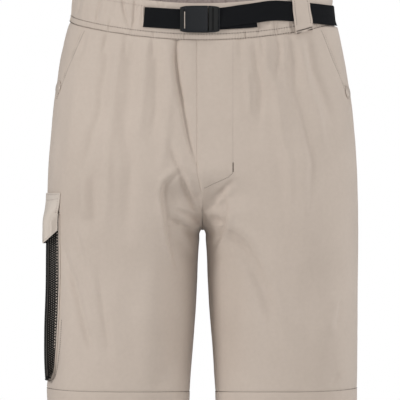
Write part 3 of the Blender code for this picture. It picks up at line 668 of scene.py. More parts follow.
def make_panel(name, half, edges, count, pitch, open_edge):
    """A panel's shell. The open edge is the pocket mouth, which lies free on the facing behind it."""
    base = panel_rows(pitch)
    first, last = edges(half, base)
    sign = np.sign(last - first)
    near = first[:, None] + sign[:, None] * EDGE_STEPS
    far = last[:, None] - sign[:, None] * EDGE_STEPS[::-1]
    share = np.linspace(0.0, 1.0, count)[1:-1]
    middle = near[:, -1:] * (1 - share) + far[:, :1] * share
    length = np.concatenate([near, middle, far], axis=1)
    grid_base = np.broadcast_to(base[:, None], length.shape)
    shares = np.where(length > 0, length / span(grid_base), length / span(grid_base, False))
    z = row_height(grid_base, shares)
    from_first = np.abs(length - first[:, None])
    from_last = np.abs(length - last[:, None])
    top_gap = -grid_base
    fold = -0.85 * np.exp(-from_last / 0.9)
    fold = fold - 0.7 * np.exp(-top_gap / 1.2)
    if open_edge:
        fold = fold + 0.9 * np.exp(-from_first / 9.0) * ease((grid_base + 112.0) / 12.0)
        fold = fold - 0.85 * np.exp(-from_first / 0.9) * (1.0 - ease((grid_base + 108.0) / 8.0))
    else:
        fold = fold - 0.85 * np.exp(-from_first / 0.9)
    plain = look_up(CHART, z, shares) * np.array((half, 1.0, 1.0))
    pull = drift(plain, (60, 60, 5.5), 17)
    edge_pull = np.exp(-((from_last - 4.0) / 5.0) ** 2) + np.exp(-((from_first - 4.0) / 5.0) ** 2)
    fold = fold + 0.2 * edge_pull * pull
    hem_gap = np.abs(z - hem_height(shares))
    fold = fold - 0.45 * np.exp(-((hem_gap / 1.2) ** 2)) + 0.35 * (z < hem_height(shares))
    fold = fold + 0.22 * np.exp(-((hem_gap - 3.5) / 4.0) ** 2) * drift(plain, (6, 6, 60), 19)
    wall = np.where(z < hem_height(shares) + 0.2, HEM_WALL, PANEL_WALL)
    outer = cloth(half, z, shares, fold)
    inner = cloth(half, z, shares, fold - wall)
    uvs = np.stack([half * length * MM, z * MM], axis=-1)
    piece = shell(name, outer, inner, uvs, flip=half < 0)
    area = flat_area(outer)
    width = float(np.max(np.abs(last - first))) * MM
    height = float(base[0] - base[-1]) * MM
    print(name, len(piece.data.polygons), "faces, flat", round(width, 3), "by", round(height, 3), "m")
    return piece, (width, height), area


panels = {}
PITCH, COLUMNS = ((2.4, 150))
for half, wearer in ((1, "left"), (-1, "right")):
    for side, edges in (("front", front_edges), ("back", back_edges)):
        node = f"{side}_{wearer}"
        panels[node] = make_panel(f"{node}_cloth", half, edges, COLUMNS, PITCH, side == "front")

# %% [markdown]
# The finishes share two effects, each a node group. One is a plain weave: threads that pass over and under
# each other, read from the map of lengths. The other is slow variation, which keeps large plain areas from
# looking like paint. Colours are close to the photograph's: a light warm taupe and near-blacks.


# %% Node groups
def new_group(name, inputs, outputs):
    """An empty group of shader nodes with named sockets, as (name, type, value)."""
    group = bpy.data.node_groups.new(name, "ShaderNodeTree")
    for direction, sockets in (("INPUT", inputs), ("OUTPUT", outputs)):
        for socket_name, kind, *value in sockets:
            socket = group.interface.new_socket(name=socket_name, in_out=direction, socket_type=kind)
            if value:
                socket.default_value = value[0]
    return group, group.nodes.new("NodeGroupInput"), group.nodes.new("NodeGroupOutput")


def math_node(nodes, links, operation, *values):
    """A Math node whose inputs are numbers or other nodes' outputs."""
    node = nodes.new("ShaderNodeMath")
    node.operation = operation
    for index, value in enumerate(values):
        if isinstance(value, (int, float)):
            node.inputs[index].default_value = value
        else:
            links.new(value, node.inputs[index])
    return node.outputs[0]


def make_weave_group():
    """Height and mask of a plain weave whose threads lie a pitch apart."""
    group, start, end = new_group(
        "plain_weave",
        [("Map", "NodeSocketVector"), ("Pitch", "NodeSocketFloat", 0.0005)],
        [("Height", "NodeSocketFloat"), ("Thread", "NodeSocketFloat")],
    )
    nodes, links = group.nodes, group.links
    parts = nodes.new("ShaderNodeSeparateXYZ")
    links.new(start.outputs["Map"], parts.inputs[0])
    turn = math_node(nodes, links, "DIVIDE", math.pi, start.outputs["Pitch"])
    warp = math_node(nodes, links, "SINE", math_node(nodes, links, "MULTIPLY", parts.outputs[0], turn))
    weft = math_node(nodes, links, "SINE", math_node(nodes, links, "MULTIPLY", parts.outputs[1], turn))
    crossing = math_node(nodes, links, "MULTIPLY", warp, weft)
    threads = math_node(nodes, links, "MAXIMUM", math_node(nodes, links, "ABSOLUTE", warp), 0.35)
    height = math_node(nodes, links, "MULTIPLY_ADD", crossing, 0.5, threads)
    links.new(height, end.inputs["Height"])
    links.new(math_node(nodes, links, "MULTIPLY_ADD", crossing, 0.5, 0.5), end.inputs["Thread"])
    return group


def make_variation_group():
    """A slow and a fine noise in the object's own space, mixed into one value around one half."""
    group, start, end = new_group(
        "slow_variation",
        [("Place", "NodeSocketVector"), ("Scale", "NodeSocketFloat", 12.0), ("Fine", "NodeSocketFloat", 0.3)],
        [("Value", "NodeSocketFloat")],
    )
    nodes, links = group.nodes, group.links
    slow, fine = nodes.new("ShaderNodeTexNoise"), nodes.new("ShaderNodeTexNoise")
    for noise, detail in ((slow, 3.0), (fine, 4.0)):
        noise.inputs["Detail"].default_value = detail
        links.new(start.outputs["Place"], noise.inputs["Vector"])
    links.new(start.outputs["Scale"], slow.inputs["Scale"])
    links.new(math_node(nodes, links, "MULTIPLY", start.outputs["Scale"], 22.0), fine.inputs["Scale"])
    mix = nodes.new("ShaderNodeMix")
    links.new(start.outputs["Fine"], mix.inputs["Factor"])
    links.new(slow.outputs["Fac"], mix.inputs["A"])
    links.new(fine.outputs["Fac"], mix.inputs["B"])
    links.new(mix.outputs["Result"], end.inputs["Value"])
    return group


weave_group = make_weave_group()
variation_group = make_variation_group()
print("node groups:", weave_group.name, variation_group.name)


# %% [markdown]
# One function lays out a finish: two colours mixed by the slow variation, roughness around a middle value,
# and a bump from the weave or, on moulded parts, from a fine grain. Sheen and coat are plain numbers on the
# shader, because they are the same all over. The flap's cloth has a slightly lighter copy of the finish,
# painted light for the light that falls on the flap.


# %% Finishes
SHADER_SOCKETS = {
    "sheen_weight": "Sheen Weight",
    "specular_ior_level": "Specular IOR Level",
    "metallic": "Metallic",
}
FINE_SHARE = 0.3
GRAIN_SCALE = 1500.0
ROUGH_SWING = 0.06


def make_finish(
    name, dark, light, rough, scale=9.0, pitch=None, relief_height=0.0001, strength=0.3, **plain
):
    """A material with two colours, varied roughness and a woven or grained bump."""
    material = bpy.data.materials.new(name)
    material.use_nodes = True
    nodes, links = material.node_tree.nodes, material.node_tree.links
    shader = nodes["Principled BSDF"]
    coordinates = nodes.new("ShaderNodeTexCoord")
    variation = nodes.new("ShaderNodeGroup")
    variation.node_tree = variation_group
    variation.inputs["Scale"].default_value = scale
    variation.inputs["Fine"].default_value = FINE_SHARE
    links.new(coordinates.outputs["Object"], variation.inputs["Place"])
    spread = nodes.new("ShaderNodeMapRange")
    spread.inputs["From Min"].default_value = 0.3
    spread.inputs["From Max"].default_value = 0.7
    links.new(variation.outputs["Value"], spread.inputs["Value"])
    colours = nodes.new("ShaderNodeMix")
    colours.data_type = "RGBA"
    colours.inputs["A"].default_value = (*dark, 1.0)
    colours.inputs["B"].default_value = (*light, 1.0)
    links.new(spread.outputs["Result"], colours.inputs["Factor"])
    links.new(colours.outputs["Result"], shader.inputs["Base Color"])
    roughness = nodes.new("ShaderNodeMapRange")
    roughness.inputs["To Min"].default_value = rough - ROUGH_SWING
    roughness.inputs["To Max"].default_value = rough + ROUGH_SWING
    links.new(spread.outputs["Result"], roughness.inputs["Value"])
    links.new(roughness.outputs["Result"], shader.inputs["Roughness"])
    bump = nodes.new("ShaderNodeBump")
    bump.inputs["Strength"].default_value = strength
    bump.inputs["Distance"].default_value = relief_height
    if pitch:
        weave = nodes.new("ShaderNodeGroup")
        weave.node_tree = weave_group
        weave.inputs["Pitch"].default_value = pitch
        links.new(coordinates.outputs["UV"], weave.inputs["Map"])
        links.new(weave.outputs["Height"], bump.inputs["Height"])
    else:
        grain = nodes.new("ShaderNodeTexNoise")
        grain.inputs["Scale"].default_value = GRAIN_SCALE
        links.new(coordinates.outputs["Object"], grain.inputs["Vector"])
        links.new(grain.outputs["Fac"], bump.inputs["Height"])
    links.new(bump.outputs["Normal"], shader.inputs["Normal"])
    for socket, value in plain.items():
        shader.inputs[SHADER_SOCKETS[socket]].default_value = value
    return material


CLOTH_LOOK = make_finish(
    "taupe_nylon", (0.495, 0.414, 0.35), (0.56, 0.474, 0.406), 0.74, pitch=0.00045, sheen_weight=0.17,
)
# Lighter copy of the cloth: painted light on the flap, which faces the lamps.
FLAP_PAINTED_LIGHT_LOOK = make_finish(
    "taupe_nylon_painted_light", (0.56, 0.49, 0.425), (0.63, 0.556, 0.49), 0.74, pitch=0.00045, sheen_weight=0.17,
)
# Darker copy of the cloth: painted shade on the band's inside and the crotch tape, and the tone of the finer
# threads.
SHADE_AND_THREAD_LOOK = make_finish(
    "taupe_nylon_painted_shade_and_thread", (0.36, 0.29, 0.27), (0.42, 0.345, 0.32), 0.8, pitch=0.00045,
)
THREAD_LOOK = make_finish("taupe_thread", (0.075, 0.058, 0.046), (0.12, 0.094, 0.077), 0.75, scale=60.0)
WEBBING_LOOK = make_finish(
    "black_webbing", (0.0025, 0.003, 0.004), (0.005, 0.0055, 0.007), 0.85, scale=30.0, pitch=0.0008,
    relief_height=0.00025, strength=0.7, specular_ior_level=0.18,
)
BUCKLE_LOOK = make_finish(
    "slate_plastic", (0.006, 0.007, 0.009), (0.009, 0.0102, 0.0125), 0.45, scale=40.0, relief_height=0.00003,
    specular_ior_level=0.24,
)
BUCKLE_DARK_LOOK = make_finish(
    "black_plastic", (0.004, 0.0045, 0.0045), (0.007, 0.0075, 0.0075), 0.55, scale=40.0,
    relief_height=0.00003, specular_ior_level=0.3,
)
NET_LOOK = make_finish(
    "black_net", (0.005, 0.0048, 0.0046), (0.009, 0.0085, 0.008), 0.85, scale=30.0, pitch=0.0003,
    specular_ior_level=0.2,
)
# Grey sheet under the net: painted shade for the pocket's dark inside, lighter as painted light through the
# holes.
PAINTED_SHADE_SHEET_LOOK = make_finish(
    "grey_painted_shade_and_light", (0.16, 0.142, 0.126), (0.22, 0.195, 0.173), 0.9, scale=30.0, pitch=0.0004,
    specular_ior_level=0.3,
)
BINDING_LOOK = make_finish(
    "black_binding", (0.006, 0.0058, 0.0056), (0.011, 0.0105, 0.01), 0.8, scale=30.0, pitch=0.0006,
    specular_ior_level=0.25,
)
SNAP_LOOK = make_finish(
    "taupe_lacquer", (0.47, 0.4, 0.345), (0.54, 0.465, 0.4), 0.36, scale=60.0,
    relief_height=0.00002, metallic=0.1,
)
print(len(bpy.data.materials), "materials")


def declare(piece, look, nodes=()):
    """Gives a piece its finish, puts it under the root body and hides the CAD nodes that it stands for."""
    if not piece.data.materials:
        piece.data.materials.append(look)
    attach(piece, "root")
    if nodes:
        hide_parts(*nodes)
    return piece


for node, (piece, flat, area) in panels.items():
    declare(piece, CLOTH_LOOK, (node,))

# %% [markdown]
# Behind each slant pocket mouth lies the facing, a narrow piece of the same cloth that belongs to the hip. It
# sits a little under the front panel and runs on beneath its edge, so the mouth reads as a real opening.


# %% Hip facings
FACING_LENGTH = 104.0
FACING_TUCK = 7.0
FACING_WALL = 0.6


def make_facing(name, half):
    """The facing's shell, from the side seam to a little under the pocket mouth."""
    base = np.concatenate([[0.0, -0.6, -1.4], np.arange(-3.0, -FACING_LENGTH, -2.2)])
    first = straight(POCKET_LINE, "side seam", base)
    last = straight(POCKET_LINE, "mouth", base) + FACING_TUCK
    share = np.concatenate([[0.0, 0.02, 0.05], np.linspace(0.1, 1.0, 16)])
    length = first[:, None] * (1 - share) + last[:, None] * share
    grid_base = np.broadcast_to(base[:, None], length.shape)
    shares = length / span(grid_base)
    z = row_height(grid_base, shares)
    past = length - straight(POCKET_LINE, "mouth", base)[:, None]
    fold = -0.85 * np.exp(-(length - first[:, None]) / 0.9) - 0.7 * np.exp(grid_base / 1.2)
    fold = fold - 1.15 * ease((past + 5.0) / 6.0)
    outer, inner = cloth(half, z, shares, fold), cloth(half, z, shares, fold - FACING_WALL)
    uvs = np.stack([half * length * MM, z * MM], axis=-1)
    piece = shell(name, outer, inner, uvs, flip=half < 0)
    size = (float(np.max(last - first)) * MM, FACING_LENGTH * MM)
    return piece, size, flat_area(outer)


for half, wearer in ((1, "left"), (-1, "right")):
    piece, size, area = make_facing(f"hip_facing_{wearer}", half)
    area = min(area, size[0] * size[1])
    declare(piece, CLOTH_LOOK, (f"hip_{wearer}",))
    print(piece.name, "flat area", round(area, 5))

# %% [markdown]
# The waistband is an elastic casing. Rows of stitching hold the elastic, the cloth between them stands in
# small upright gathers, deeper behind and at the sides and fewer in front, where the belt lies over it.

# %% Waistband
BAND_COLUMNS = 240
GATHER_DEPTH = 1.1
# Gathers in front: half width, height, then x and z of points along each
BAND_CREASES = (
    (2.2, -1.0, -157, 27, -163, 9),
    (3.6, 0.6, -152, 27, -156, 2),
    (4.2, 0.5, -146, 27, -148, -4),
    (1.9, -1.1, -132, 27, -138.5, -2),
    (4.0, 0.6, -126, 27, -130, -2),
    (1.8, -0.9, -119, 2, -122, -14),
    (3.5, -0.5, -113, 27, -115, 0),
    (1.9, -1.4, -104, 27, -101.5, 11, -95, -8),
    (3.2, 0.7, -98, 27, -94, 8),
    (1.8, -1.2, -87.5, 27, -89, 2, -92, -15),
    (1.7, -1.0, -83.5, 18, -88, -4),
    (3.0, 0.6, -79.5, 25, -83, -12),
    (2.2, -0.8, -58, 27, -55, 16),
    (2.4, -0.7, -48, 27, -50, 17),
    (1.7, -0.9, -63.4, -14, -64, -22),
    (2.0, -0.6, -22, -16, -23, -24),
    (2.6, -0.5, 30, 27, 31, 16),
    (1.8, -0.8, 55.5, -14, 56, -24),
    (1.9, -0.9, 71.5, -2, 72.5, -18),
    (1.8, -0.9, 92, -2, 93, -18),
    (1.7, -0.9, 96.5, -4, 97.5, -17),
    (2.6, 0.5, 87, 0, 88, -18),
    (1.8, -1.1, 113.5, -2, 117, -16),
    (2.0, -0.7, 146, 2, 148, -12),
    (2.2, -0.6, 156, 0, 159, -8),
)
PUCKER_PITCH = 3.5
PUCKER_DEPTH = 0.48
BAND_CREASE_GAIN = 1.7
CAD_STEPS = 52.0
BAND_WALL = 2.4
STITCH_ROWS = (0.8, 7.8)
TOP_STITCH_ROW = 40.0
BAND_ROWS = (
    48.0, 47.6, 46.8, 45.0, 43.0, 41.0, 40.0, 39.0, 36.5, 33.0, 29.5, 26.0, 22.5, 19.0, 15.5, 12.5, 10.6,
    9.2, 7.8, 6.4, 5.0, 3.6, 2.4, 1.6, 0.8, 0.3, 0.0,
)


def band_profile(height):
    """How far the casing stands out between its rows of stitching."""
    pinch = sum(np.exp(-(((height - row) / 1.3) ** 2)) for row in (*STITCH_ROWS, TOP_STITCH_ROW))
    risen = (height - STITCH_ROWS[1]) / (TOP_STITCH_ROW - STITCH_ROWS[1])
    swell = 0.5 * np.sin(np.clip(risen, 0.0, 1.0) * math.pi)
    rim = -1.0 * np.exp(-(BAND_HEIGHT - height) / 1.2)
    return swell - 0.35 * pinch + rim


def band_wave(half, share, x, z, height, index):
    """The gathers at places of the band. An index counts steps of the CAD band's 52 to a quarter."""
    even = GATHER_DEPTH * np.cos(2 * math.pi * index / 4) * (1.0 + 0.3 * np.sin(1.7 * index))
    even = even + 0.45 * np.cos(2 * math.pi * index / 1.55 + np.sin(index * 0.31))
    behind = 1.0 - ease(share / 0.12)
    front = crease_height(BAND_CREASES, half * x, z, BAND_CREASE_GAIN)
    turn = half * x * 2 * math.pi / PUCKER_PITCH
    puckers = np.sin(turn + 1.3 * np.sin(x / 5.3) + half) * (0.65 + 0.35 * np.sin(x / 8.7 + 2.0 * half))
    between = np.exp(-(((height - 4.4) / 3.8) ** 2)) + 0.35 * np.exp(-(((height - 15.0) / 6.0) ** 2))
    return even * behind + (1.0 - behind) * (front + PUCKER_DEPTH * puckers * between)


def make_band():
    """The band's shell as a ring of four quarters, with its length round, its area and its outer points."""
    steps = np.arange(BAND_COLUMNS) / BAND_COLUMNS
    legs = ((1, 1, 0), (1, 0, -1), (-1, -1, 0), (-1, 0, 1))
    half = np.concatenate([np.full(BAND_COLUMNS, h) for h, _, _ in legs])
    share = np.concatenate([start + (stop - start) * steps for _, start, stop in legs])
    index = np.arange(len(share)) * CAD_STEPS / BAND_COLUMNS
    heights = np.array(BAND_ROWS)
    share_grid, height_grid = np.meshgrid(share, heights)
    half_grid, index_grid = np.meshgrid(half, heights)[0], np.meshgrid(index, heights)[0]
    z = seam_height(share_grid) + height_grid
    base = look_up(CHART, z, share_grid)
    normals = look_up(CHART_NORMALS, z, share_grid)
    wave = band_wave(half_grid, share_grid, base[..., 0], z, height_grid, index_grid)
    turned = np.stack([half_grid, np.ones_like(z), np.ones_like(z)], axis=-1)
    spot = base * turned
    wave = wave + 0.25 * drift(spot, (4, 6, 11), 23)
    wave = wave - belt_press(half_grid, z, share_grid)
    lift = BAND_PROUD + wave + band_profile(height_grid)
    tuck = -0.8 * np.exp(-height_grid / 0.5) - 0.6 * np.exp(-((height_grid / 4.0) ** 2))
    outer = (base + normals * (lift + tuck)[..., None]) * turned
    inner = (base + normals * (BAND_PROUD + wave * 0.9 - BAND_WALL)[..., None]) * turned
    around = np.concatenate([[0.0], np.cumsum(np.hypot(*np.diff(outer[20, :, :2], axis=0).T))])
    uvs = np.stack(np.broadcast_arrays(around[None, :] * MM, heights[:, None] * MM), axis=-1)
    piece = shell("gathered_band", outer, inner, uvs, ring=True)
    piece.data.materials.append(CLOTH_LOOK)
    # The inner faces take the darker copy of the cloth, painted shade inside the band.
    piece.data.materials.append(SHADE_AND_THREAD_LOOK)
    inside = len(heights) * len(share)
    for face in piece.data.polygons:
        if all(v >= inside for v in face.vertices):
            face.material_index = 1
    area = flat_area(np.concatenate([outer, outer[:, :1]], axis=1))
    return piece, float(around[-1]) * MM, area, outer, heights


band, band_length, band_area, band_grid, band_heights = make_band()
declare(
    band, CLOTH_LOOK, ("waistband",),
)
print("waistband", round(band_length, 3), "m round, surface", round(band_area, 4))

# %% [markdown]
# The belt is thick woven webbing with fine ribs across it. Each stretch is a strip along the band, as wide
# as it shows in the photograph, with rounded edges and its ribs in the mesh. Beside the buckle the strip
# lies on its own tail.


# %% Webbing
# Columns of the stretches: x, or length behind the side, then the height of the middle and the extra lift
WEBBING = 26.2
WEBBING_WALL = 1.5
BELT_LIFT = 2.0
TAIL_LIFT = 1.9
BELT_SHORT = ((-75, 4.0, -1.4), (-71, 3.7, 0.0), (-55, 2.6, 0.2), (-29.4, 1.0, 1.4), (-24.5, 0.8, 1.5))
BELT_LONG = (
    (17.0, 1.9, TAIL_LIFT),
    (35, 4.2, TAIL_LIFT),
    (48, 6.3, TAIL_LIFT),
    (59.5, 7.9, TAIL_LIFT),
    (71.5, 9.7, 1.8),
    (83.5, 11.7, 0.4),
    (96, 12.4, 0.0),
    (107, 11.9, 0.0),
    (117, 11.1, 0.0),
    (127, 10.3, 0.0),
    (137, 9.5, 0.0),
    (146, 8.7, 0.0),
    (154, 7.9, 0.0),
    (160.5, 7.2, 0.0),
    (165, 6.8, 0.0),
)
BELT_BEHIND = (
    (6, 6.6, 0.0),
    (22, 7.4, 0.0),
    (38, 9.1, 0.0),
    (54, 11.4, 0.0),
    (66, 13.2, 0.0),
    (72, 14.0, -1.4),
)
BELT_TAIL = ((17.0, 0.4, 0.0), (37, 1.5, 0.0), (53, 2.4, 0.0), (68.8, 3.5, 0.0))
RIB_PITCH = 1.5
RIB_HEIGHT = 0.13
STRAP_ACROSS = np.array((0.5, 0.495, 0.47, 0.43, 0.36, 0.28, 0.2, 0.12, 0.04))


def smooth_band(half, z, share, lift):
    """Points off the band's face as it lies under the gathers."""
    z, share, lift = alike(z, share, lift)
    points = look_up(CHART, z, share) + look_up(CHART_NORMALS, z, share) * (BAND_PROUD + lift)[..., None]
    return points * np.stack([np.broadcast_to(half, z.shape), np.ones_like(z), np.ones_like(z)], axis=-1)


def front_stations(rows):
    """Stations of a strap from rows of x, height and extra lift in the front view."""
    return [(math.copysign(1, x), share_of_x(z, abs(x)), z, extra) for x, z, extra in rows]


def make_strap(name, stations, pitch):
    """Ribbed webbing through stations, each a half, a share, the height of its middle and an extra lift."""
    half = stations[-1][0]
    ends = np.array([smooth_band(side, z, share, BELT_LIFT + extra) for side, share, z, extra in stations])
    marks = np.concatenate([[0.0], np.cumsum(np.linalg.norm(np.diff(ends, axis=0), axis=1))])
    keys = [(mark, *station[1:]) for mark, station in zip(marks, stations)]
    track = table("mark, share, middle, extra", *keys)
    count = max(8, int(marks[-1] / pitch))
    along = np.linspace(0.0, marks[-1], count)
    share, middle, extra = (smooth_line(track, column, along) for column in ("share", "middle", "extra"))
    across = np.concatenate([STRAP_ACROSS, -STRAP_ACROSS[::-1]]) * WEBBING
    rows, columns = np.meshgrid(across, along, indexing="ij")
    edge = 1.0 - np.clip((np.abs(rows) - WEBBING * 0.44) / (WEBBING * 0.06), 0.0, 1.0) ** 2
    rib = RIB_HEIGHT * np.sin(columns * 2 * math.pi / RIB_PITCH)
    rib = rib * (0.75 + 0.25 * np.sin(rows * 2 * math.pi / 1.8))
    sag = 0.35 * np.sin(columns / 23.0 + 1.0)
    z = middle[None, :] + rows
    top = WEBBING_WALL * (0.5 + 0.5 * edge) + rib * edge + sag * 0.3
    low = WEBBING_WALL * (0.5 - 0.5 * edge)
    lift = BELT_LIFT + extra[None, :] - belt_press(half, z, share[None, :])
    outer = smooth_band(half, z, share[None, :], lift + top)
    inner = smooth_band(half, z, share[None, :], lift + low)
    uvs = np.stack([columns * MM, rows * MM], axis=-1)
    return shell(name, outer, inner, uvs), float(marks[-1])


strap_pitch = 0.5
BEHIND_STATIONS = [(1, -length / float(span(z, False)), z, extra) for length, z, extra in BELT_BEHIND]
for name, node, stations in (
    ("webbing_short", "belt_short", front_stations(BELT_SHORT)),
    ("webbing_long", "belt_long", front_stations(BELT_LONG) + BEHIND_STATIONS),
    ("webbing_tail", "belt_tail", front_stations(BELT_TAIL)),
):
    piece, length = make_strap(name, stations, strap_pitch)
    size = (WEBBING * MM, length * MM)
    declare(piece, WEBBING_LOOK, (node,))
    print(name, round(length, 1), "mm", len(piece.data.polygons), "faces")

# %% [markdown]
# One loop of the shorts' own cloth holds the long stretch. It is a folded strip, sewn down above and below
# the webbing, with a row of stitches along each edge. The webbing comes out of a slit in the band beside a
# narrow welt.

# %% Loop and slit
LOOP_WALL = 1.4
LOOP_SLOPE = 6.2
LOOP_TOP_Z, LOOP_FOOT_Z = 35.5, -15.8
LOOP_TACKS = (32.5, -12.4, -15.0)
LOOP_ACROSS = np.array((0.15, 0.3, 0.36, 0.4, 0.46, 0.49, 0.5))
LOOP_TRACK = table(
    "height, middle, lift, width",
    (35.5, 123.8, 1.6, 21.2),
    (29.5, 124.4, 2.1, 21.3),
    (25.5, 124.7, 3.9, 21.4),
    (12.0, 126.2, 4.1, 22.2),
    (-2.5, 128.5, 3.9, 23.2),
    (-7.5, 129.3, 3.0, 23.4),
    (-15.8, 130.6, 3.2, 23.5),
)


def make_loop():
    """The loop's shell, which swells over the webbing and is pressed down where it is sewn."""
    heights = np.linspace(LOOP_TOP_Z, LOOP_FOOT_Z, 58)
    columns = ("middle", "lift", "width")
    middle, lift, widths = (smooth_line(LOOP_TRACK, column, heights) for column in columns)
    across = np.concatenate([-LOOP_ACROSS[::-1], [0.0], LOOP_ACROSS])
    shape = 0.8 + 0.2 * np.cos(across * 2 * math.pi) - 0.5 * (np.abs(across) >= 0.49)
    shape = shape - 0.25 * np.exp(-(((np.abs(across) - 0.38) / 0.03) ** 2))
    outer, inner = [], []
    for z, x, up, width in zip(heights, middle, lift, widths):
        places = np.array([share_of_x(z, x + width * a) for a in across])
        pinch = -0.45 * math.exp(-(((z - LOOP_TACKS[0]) / 1.4) ** 2))
        pinch -= 0.6 * math.exp(-(((z - LOOP_TACKS[1]) / 1.3) ** 2))
        slope = z + across * LOOP_SLOPE * ease((-2.0 - z) / 8.0)
        outer.append(smooth_band(1, slope, places, up + LOOP_WALL * shape + pinch))
        inner.append(smooth_band(1, slope, places, up + 0.1 + 0.3 * (np.abs(across) >= 0.49)))
    uvs = np.stack(alike(across[None, :] * LOOP_TRACK["width"].max() * MM, heights[:, None] * MM), axis=-1)
    return shell("belt_loop_cloth", outer, inner, uvs)


loop = make_loop()
declare(loop, CLOTH_LOOK, ("belt_loop",))


def make_welt(name, x, low, high, width, height):
    """A narrow raised strip of cloth, as round the slit that the webbing comes out of."""
    rows = np.linspace(high, low, 24)
    across = np.array((-0.5, -0.46, -0.3, -0.1, 0.1, 0.3, 0.46, 0.5))
    dome = np.sqrt(np.clip(1.0 - (across * 2) ** 2, 0.0, 1.0))
    outer, inner = [], []
    for z in rows:
        places = np.array([share_of_x(z, abs(x + width * a)) for a in across])
        end = min(1.0, (high - z) / 1.5, (z - low) / 1.5) ** 0.5 if low < z < high else 0.0
        outer.append(smooth_band(-1, z, places, -1.2 + height * dome * (0.3 + 0.7 * end)))
        inner.append(smooth_band(-1, z, places, np.full(len(across), -2.2)))
    uvs = np.stack(alike(across[None, :] * width * MM, rows[:, None] * MM), axis=-1)
    return shell(name, outer, inner, uvs, flip=True)


welt = make_welt("slit_welt", -76.6, -9.6, 19.6, 3.4, 3.6)
declare(welt, CLOTH_LOOK)
print("belt loop and slit welt")

# %% [markdown]
# The buckle is moulded plastic in two halves. The body has a smooth slate face behind a narrow slit, and the
# frame shows two upright bars between dark grooves. Each half is joined from a few blocks. A block starts as
# a cube, is cut finer in edit mode, follows the buckle's barrel shape and gets its edges rounded.

# %% Buckle
BUCKLE_LEFT, BUCKLE_RIGHT = -29.0, 22.1
BUCKLE_Z, BUCKLE_HEIGHT, BUCKLE_CLEAR = 1.4, 35.0, 2.6
BUCKLE_MIDDLE = (BUCKLE_LEFT + BUCKLE_RIGHT) / 2
BUCKLE_REACH = (BUCKLE_RIGHT - BUCKLE_LEFT) / 2
BUCKLE_BACK = float(look_up(CHART, BUCKLE_Z, 1.0)[1]) - BAND_PROUD - BUCKLE_CLEAR


def barrel_block(name, left, right, low, high, back, front, look, round_width=1.0):
    """A block between two places in x, given shares of the buckle's height, and depths before its back."""
    bpy.ops.object.select_all(action="DESELECT")
    bpy.ops.mesh.primitive_cube_add(size=1.0)
    block = bpy.context.object
    block.name = name
    bpy.ops.object.mode_set(mode="EDIT")
    bpy.ops.mesh.select_all(action="SELECT")
    bpy.ops.mesh.subdivide(number_cuts=6)
    bpy.ops.object.mode_set(mode="OBJECT")
    for vertex in block.data.vertices:
        x = left + (vertex.co.x + 0.5) * (right - left)
        beside = ((x - BUCKLE_MIDDLE) / BUCKLE_REACH) ** 2
        tall = low + (vertex.co.z + 0.5) * (high - low)
        y = BUCKLE_BACK - (back + (0.5 - vertex.co.y) * (front - back)) + 0.8 * beside
        barrel = 1.0 - 0.03 * beside - 0.1 * beside**3
        vertex.co = Vector((x, y, BUCKLE_Z + tall * BUCKLE_HEIGHT * barrel)) * MM
    rounded = block.modifiers.new("rounded", "BEVEL")
    rounded.width = round_width * MM
    rounded.segments = 3
    rounded.limit_method = "ANGLE"
    rounded.angle_limit = math.radians(40)
    bpy.ops.object.modifier_apply(modifier="rounded")
    bpy.ops.object.shade_smooth_by_angle(angle=math.radians(35))
    block.data.materials.append(look)
    return block


def join_blocks(name, blocks):
    """One mesh from several blocks, named and left at the origin."""
    bpy.ops.object.select_all(action="DESELECT")
    for block in blocks:
        block.select_set(True)
    bpy.context.view_layer.objects.active = blocks[0]
    bpy.ops.object.join()
    blocks[0].name = name
    blocks[0].data.name = name
    return blocks[0]


body = join_blocks(
    "buckle_body_moulded",
    [
        barrel_block("tray", BUCKLE_LEFT, 7.1, -0.5, 0.5, 0.0, 5.0, BUCKLE_DARK_LOOK, 1.4),
        barrel_block("left_post", BUCKLE_LEFT, -24.4, -0.5, 0.5, 2.0, 6.2, BUCKLE_DARK_LOOK, 1.3),
        barrel_block("slate_face", -22.2, 6.9, -0.475, 0.475, 2.0, 7.0, BUCKLE_LOOK, 1.2),
        barrel_block("top_rail", -26.0, -20.0, 0.36, 0.5, 2.0, 6.4, BUCKLE_LOOK, 0.9),
        barrel_block("foot_rail", -26.0, -20.0, -0.5, -0.36, 2.0, 6.4, BUCKLE_LOOK, 0.9),
        barrel_block("slit_light", -23.7, -22.5, -0.36, 0.29, 4.4, 5.6, SNAP_LOOK, 0.3),
    ],
)
declare(body, BUCKLE_LOOK, ("buckle_body",))
bars = join_blocks(
    "buckle_frame_moulded",
    [
        barrel_block("floor_plate", 7.4, BUCKLE_RIGHT, -0.5, 0.5, 0.0, 3.4, BUCKLE_DARK_LOOK, 1.0),
        barrel_block("first_bar", 8.4, 12.2, -0.47, 0.47, 2.0, 6.3, BUCKLE_DARK_LOOK, 1.2),
        barrel_block("second_bar", 14.6, 20.0, -0.49, 0.49, 2.0, 5.9, BUCKLE_DARK_LOOK, 1.4),
        barrel_block("end_rib", 20.7, BUCKLE_RIGHT, -0.5, 0.5, 2.0, 5.2, BUCKLE_LOOK, 0.5),
        barrel_block("top_edge", 7.6, BUCKLE_RIGHT, 0.43, 0.5, 1.0, 5.8, BUCKLE_LOOK, 0.8),
        barrel_block("foot_edge", 7.6, BUCKLE_RIGHT, -0.5, -0.43, 1.0, 5.8, BUCKLE_LOOK, 0.8),
    ],
)
declare(bars, BUCKLE_LOOK, ("buckle_frame",))
print("buckle halves:", len(body.data.polygons), "and", len(bars.data.polygons), "faces")

# %% [markdown]
# The snaps are small lacquered caps. Each starts as a circle. It is extruded and resized ring by ring, which
# gives its rim, its groove and its domed middle, and is then turned to lie flat on the cloth.

